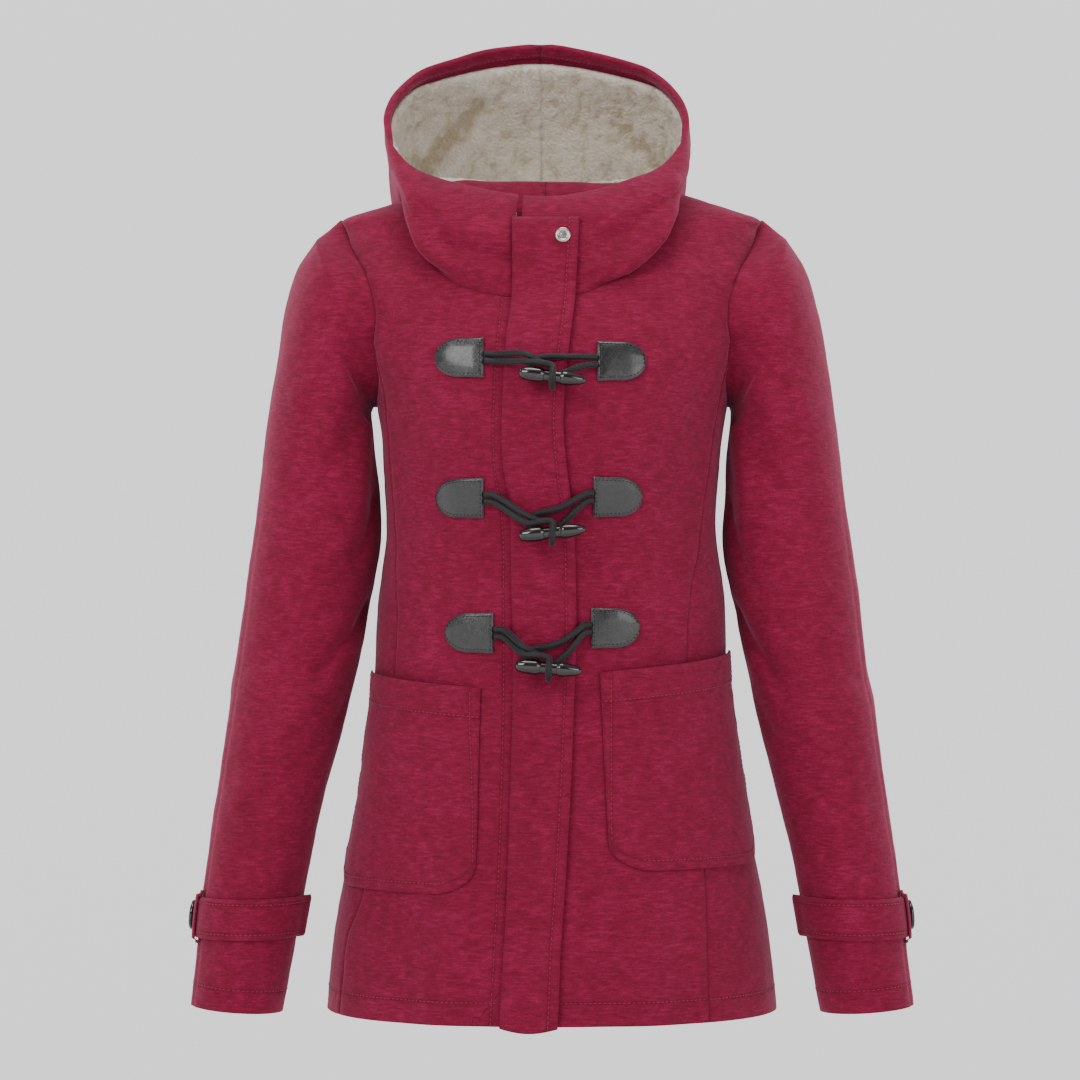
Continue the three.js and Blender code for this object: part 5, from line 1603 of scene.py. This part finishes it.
def make_strap(side):
    vs = spaced(12, 37, (0.0, 0.4, 1.0, 1.8))
    us = spaced(120, 175, (0.0, 0.5, 1.2, 2.2))
    v, u = np.meshgrid(vs, us, indexing="ij")
    row = STRAP["bottom"] + (STRAP["top"] - STRAP["bottom"]) * v
    turn = STRAP["from"] + (STRAP["to"] - STRAP["from"]) * u
    rise = LAID_ON + 0.2 + 3.5 * smooth(u, 0.9, 1)
    inner = on_side(side, on_sleeve(side, row, turn, rise - 0.2))
    base = on_side(side, on_sleeve(side, row, turn, rise + STRAP["thickness"]))
    if side == "right":
        inner, base = inner[:, ::-1], base[:, ::-1]
    distances = edge_distances(base)
    near = np.minimum.reduce([distances[edge] for edge in distances])
    line_value = near - STRAP_STITCH
    relief = -1.2 * np.exp(-((near / 1.5) ** 2)) + 0.25 * noise(base, 14, 91)
    normals = grid_normals(base)
    if (normals * (base - inner)).sum() < 0:
        inner, base, relief, near, line_value = (a[::-1] for a in (inner, base, relief, near, line_value))
        normals = grid_normals(base)
    outer = base + normals * relief[..., None]
    node = f"cuff_strap_{side}"
    attributes = {"line": line_value, "edge": near + 1.2}
    dress(make_wall(node, outer, inner, coating, attributes), node)
    distances = edge_distances(outer)
    for edge, margin in (("top", 0.03), ("bottom", 0.03), ("left", 0.2), ("right", 0.2)):
        stitched("coating", outer, distances, edge, STRAP_STITCH, margin, 1 - margin)


def make_strap_loop(side):
    over = LAID_ON + 0.2 + STRAP["thickness"] + 0.7
    top, bottom = STRAP["top"], STRAP["bottom"]
    along = np.array([
        [STRAP_LOOP["top"], LAID_ON],
        [top - 0.06, LAID_ON + 0.5],
        [top - 0.035, over - 0.8],
        [top + 0.02, over],
        [(top + bottom) / 2, over + 0.3],
        [bottom - 0.02, over],
        [bottom + 0.035, over - 0.8],
        [bottom + 0.06, LAID_ON + 0.5],
        [STRAP_LOOP["bottom"], LAID_ON],
    ])
    fine = spline(along, np.linspace(0, 1, 50))
    us = np.linspace(0, 1, 12)
    turn = STRAP_LOOP["from"] + (STRAP_LOOP["to"] - STRAP_LOOP["from"]) * us
    crown = 0.5 * np.sin(math.pi * us)
    inner = on_side(side, on_sleeve(side, fine[:, :1], turn[None], fine[:, 1:] + 0 * us))
    outer = on_side(side, on_sleeve(side, fine[:, :1], turn[None], fine[:, 1:] + 1.2 + crown))
    if (grid_normals(outer) * (outer - inner)).sum() < 0:
        outer, inner = outer[:, ::-1], inner[:, ::-1]
    distances = edge_distances(outer)
    near = np.minimum(distances["left"], distances["right"])
    node = f"strap_loop_{side}"
    attributes = {"line": np.full(near.shape, NO_LINE), "edge": near + 1}
    dress(make_wall(node, outer, inner, coating, attributes), node)


BUTTON_PROFILE = [
    (0, 0.2), (0, 8), (0, 11.6), (0.5, 12.3), (1.4, 12.5), (2.6, 12.4), (3.2, 11.9), (3.5, 11.0),
    (3.4, 10.1), (3.0, 9.3), (2.5, 8.7), (2.3, 7.8), (2.25, 5), (2.3, 2), (2.3, 0.2),
]


def make_button(side):
    row = (STRAP["top"] + STRAP["bottom"]) / 2
    seat = on_sleeve(side, row, BUTTON_TURN, LAID_ON + STRAP["thickness"] + 0.9)
    facing = sleeve_normal(np.array(row), np.array(float(BUTTON_TURN)))
    if side == "right":
        seat, facing = on_side(side, seat), on_side(side, facing)
    node = f"cuff_button_{side}"
    button = turned_solid(f"{node}_look", BUTTON_PROFILE, seat, horn, 48, tuple(facing))
    dress(button, node)
    up = unit(np.cross(facing, [0, 1.0, 0]))
    across = np.cross(facing, up)
    for shift in (-1.6, 1.6):
        ends = [seat + facing * 2.4 + across * shift + up * s for s in (-3.4, -1.7, 0, 1.7, 3.4)]
        stitch_line("leather", np.array(ends), np.array([facing] * 5), 2.2, 3.2, 0.5, -0.2)


for side in ("right", "left"):
    make_strap(side)
    make_strap_loop(side)
    make_button(side)

for kind, material, slot in (("coating", red_thread, "coating"), ("leather", cord_black, "cord")):
    points, faces = stitch_mesh(kind)
    stitches = make_object(f"stitches_{kind}", points, faces, material)
    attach(stitches, "root")

# Flat sizes of the cloth pieces, from their hanging faces, are in FLAT; the loop below passes over them and
# skips the tabs. The least width is more than a strap loop's true 8.3 mm, and the least share of the
# rectangle raises the area of the left lining from 0.0687 to 0.0704 m2.
for name, (width, length, area) in FLAT.items():
    if "tab_" in name:
        continue

# Floor, world and lights
floor_mesh = bpy.data.meshes.new("floor")
FLOOR_SIDES, FLOOR_RADIUS, FLOOR_HEIGHT = 96, 1.3, -1.42
turns = np.arange(FLOOR_SIDES) * 2 * math.pi / FLOOR_SIDES
corners = [(FLOOR_RADIUS * math.cos(t), FLOOR_RADIUS * math.sin(t), FLOOR_HEIGHT) for t in turns]
floor_mesh.from_pydata(corners, [], [list(range(FLOOR_SIDES))])
floor_nodes = Nodes("floor_material")
floor_mesh.materials.append(floor_nodes.set(color=(0.82, 0.82, 0.81), roughness=0.9))
floor = bpy.data.objects.new("floor", floor_mesh)
bpy.context.scene.collection.objects.link(floor)

world = bpy.data.worlds.new("world")
bpy.context.scene.world = world
world.use_nodes = True
tree = world.node_tree
background = tree.nodes["Background"]
coordinates = tree.nodes.new("ShaderNodeTexCoord")
separate = tree.nodes.new("ShaderNodeSeparateXYZ")
ramp = tree.nodes.new("ShaderNodeValToRGB")
scale = tree.nodes.new("ShaderNodeMapRange")
scale.inputs["From Min"].default_value = -1
scale.inputs["From Max"].default_value = 1
tree.links.new(coordinates.outputs["Generated"], separate.inputs[0])
tree.links.new(separate.outputs["Z"], scale.inputs["Value"])
tree.links.new(scale.outputs["Result"], ramp.inputs["Fac"])
tree.links.new(ramp.outputs["Color"], background.inputs["Color"])
stops = [(0.0, 0.9), (0.42, 1.3), (0.575, 1.35), (0.64, 0.22), (0.78, 0.16), (1.0, 0.6)]
for i, (place, value) in enumerate(stops):
    element = ramp.color_ramp.elements[i] if i < 2 else ramp.color_ramp.elements.new(place)
    element.position = place
    element.color = (value, value, value, 1)
background.inputs["Strength"].default_value = 1.0

# name, place, power, size
LIGHTS = [
    ("key", (-1.5, -2.3, 1.5), 38, 1.3),
    ("fill", (1.9, -2.2, 0.9), 20, 1.4),
    ("top", (0.0, -0.3, 2.2), 24, 1.2),
    ("rim_left", (1.8, 1.4, 0.9), 16, 1.0),
    ("rim_right", (-1.8, 1.4, 0.9), 16, 1.0),
]
LIGHT_AIM = Vector((0, 0, -0.25))
for name, place, power, size in LIGHTS:
    data = bpy.data.lights.new(name, "AREA")
    data.energy = power
    data.size = size
    light = bpy.data.objects.new(name, data)
    light.location = place
    aim = LIGHT_AIM - Vector(place)
    light.rotation_euler = aim.to_track_quat("-Z", "Y").to_euler()
    bpy.context.scene.collection.objects.link(light)

bpy.context.view_layer.update()
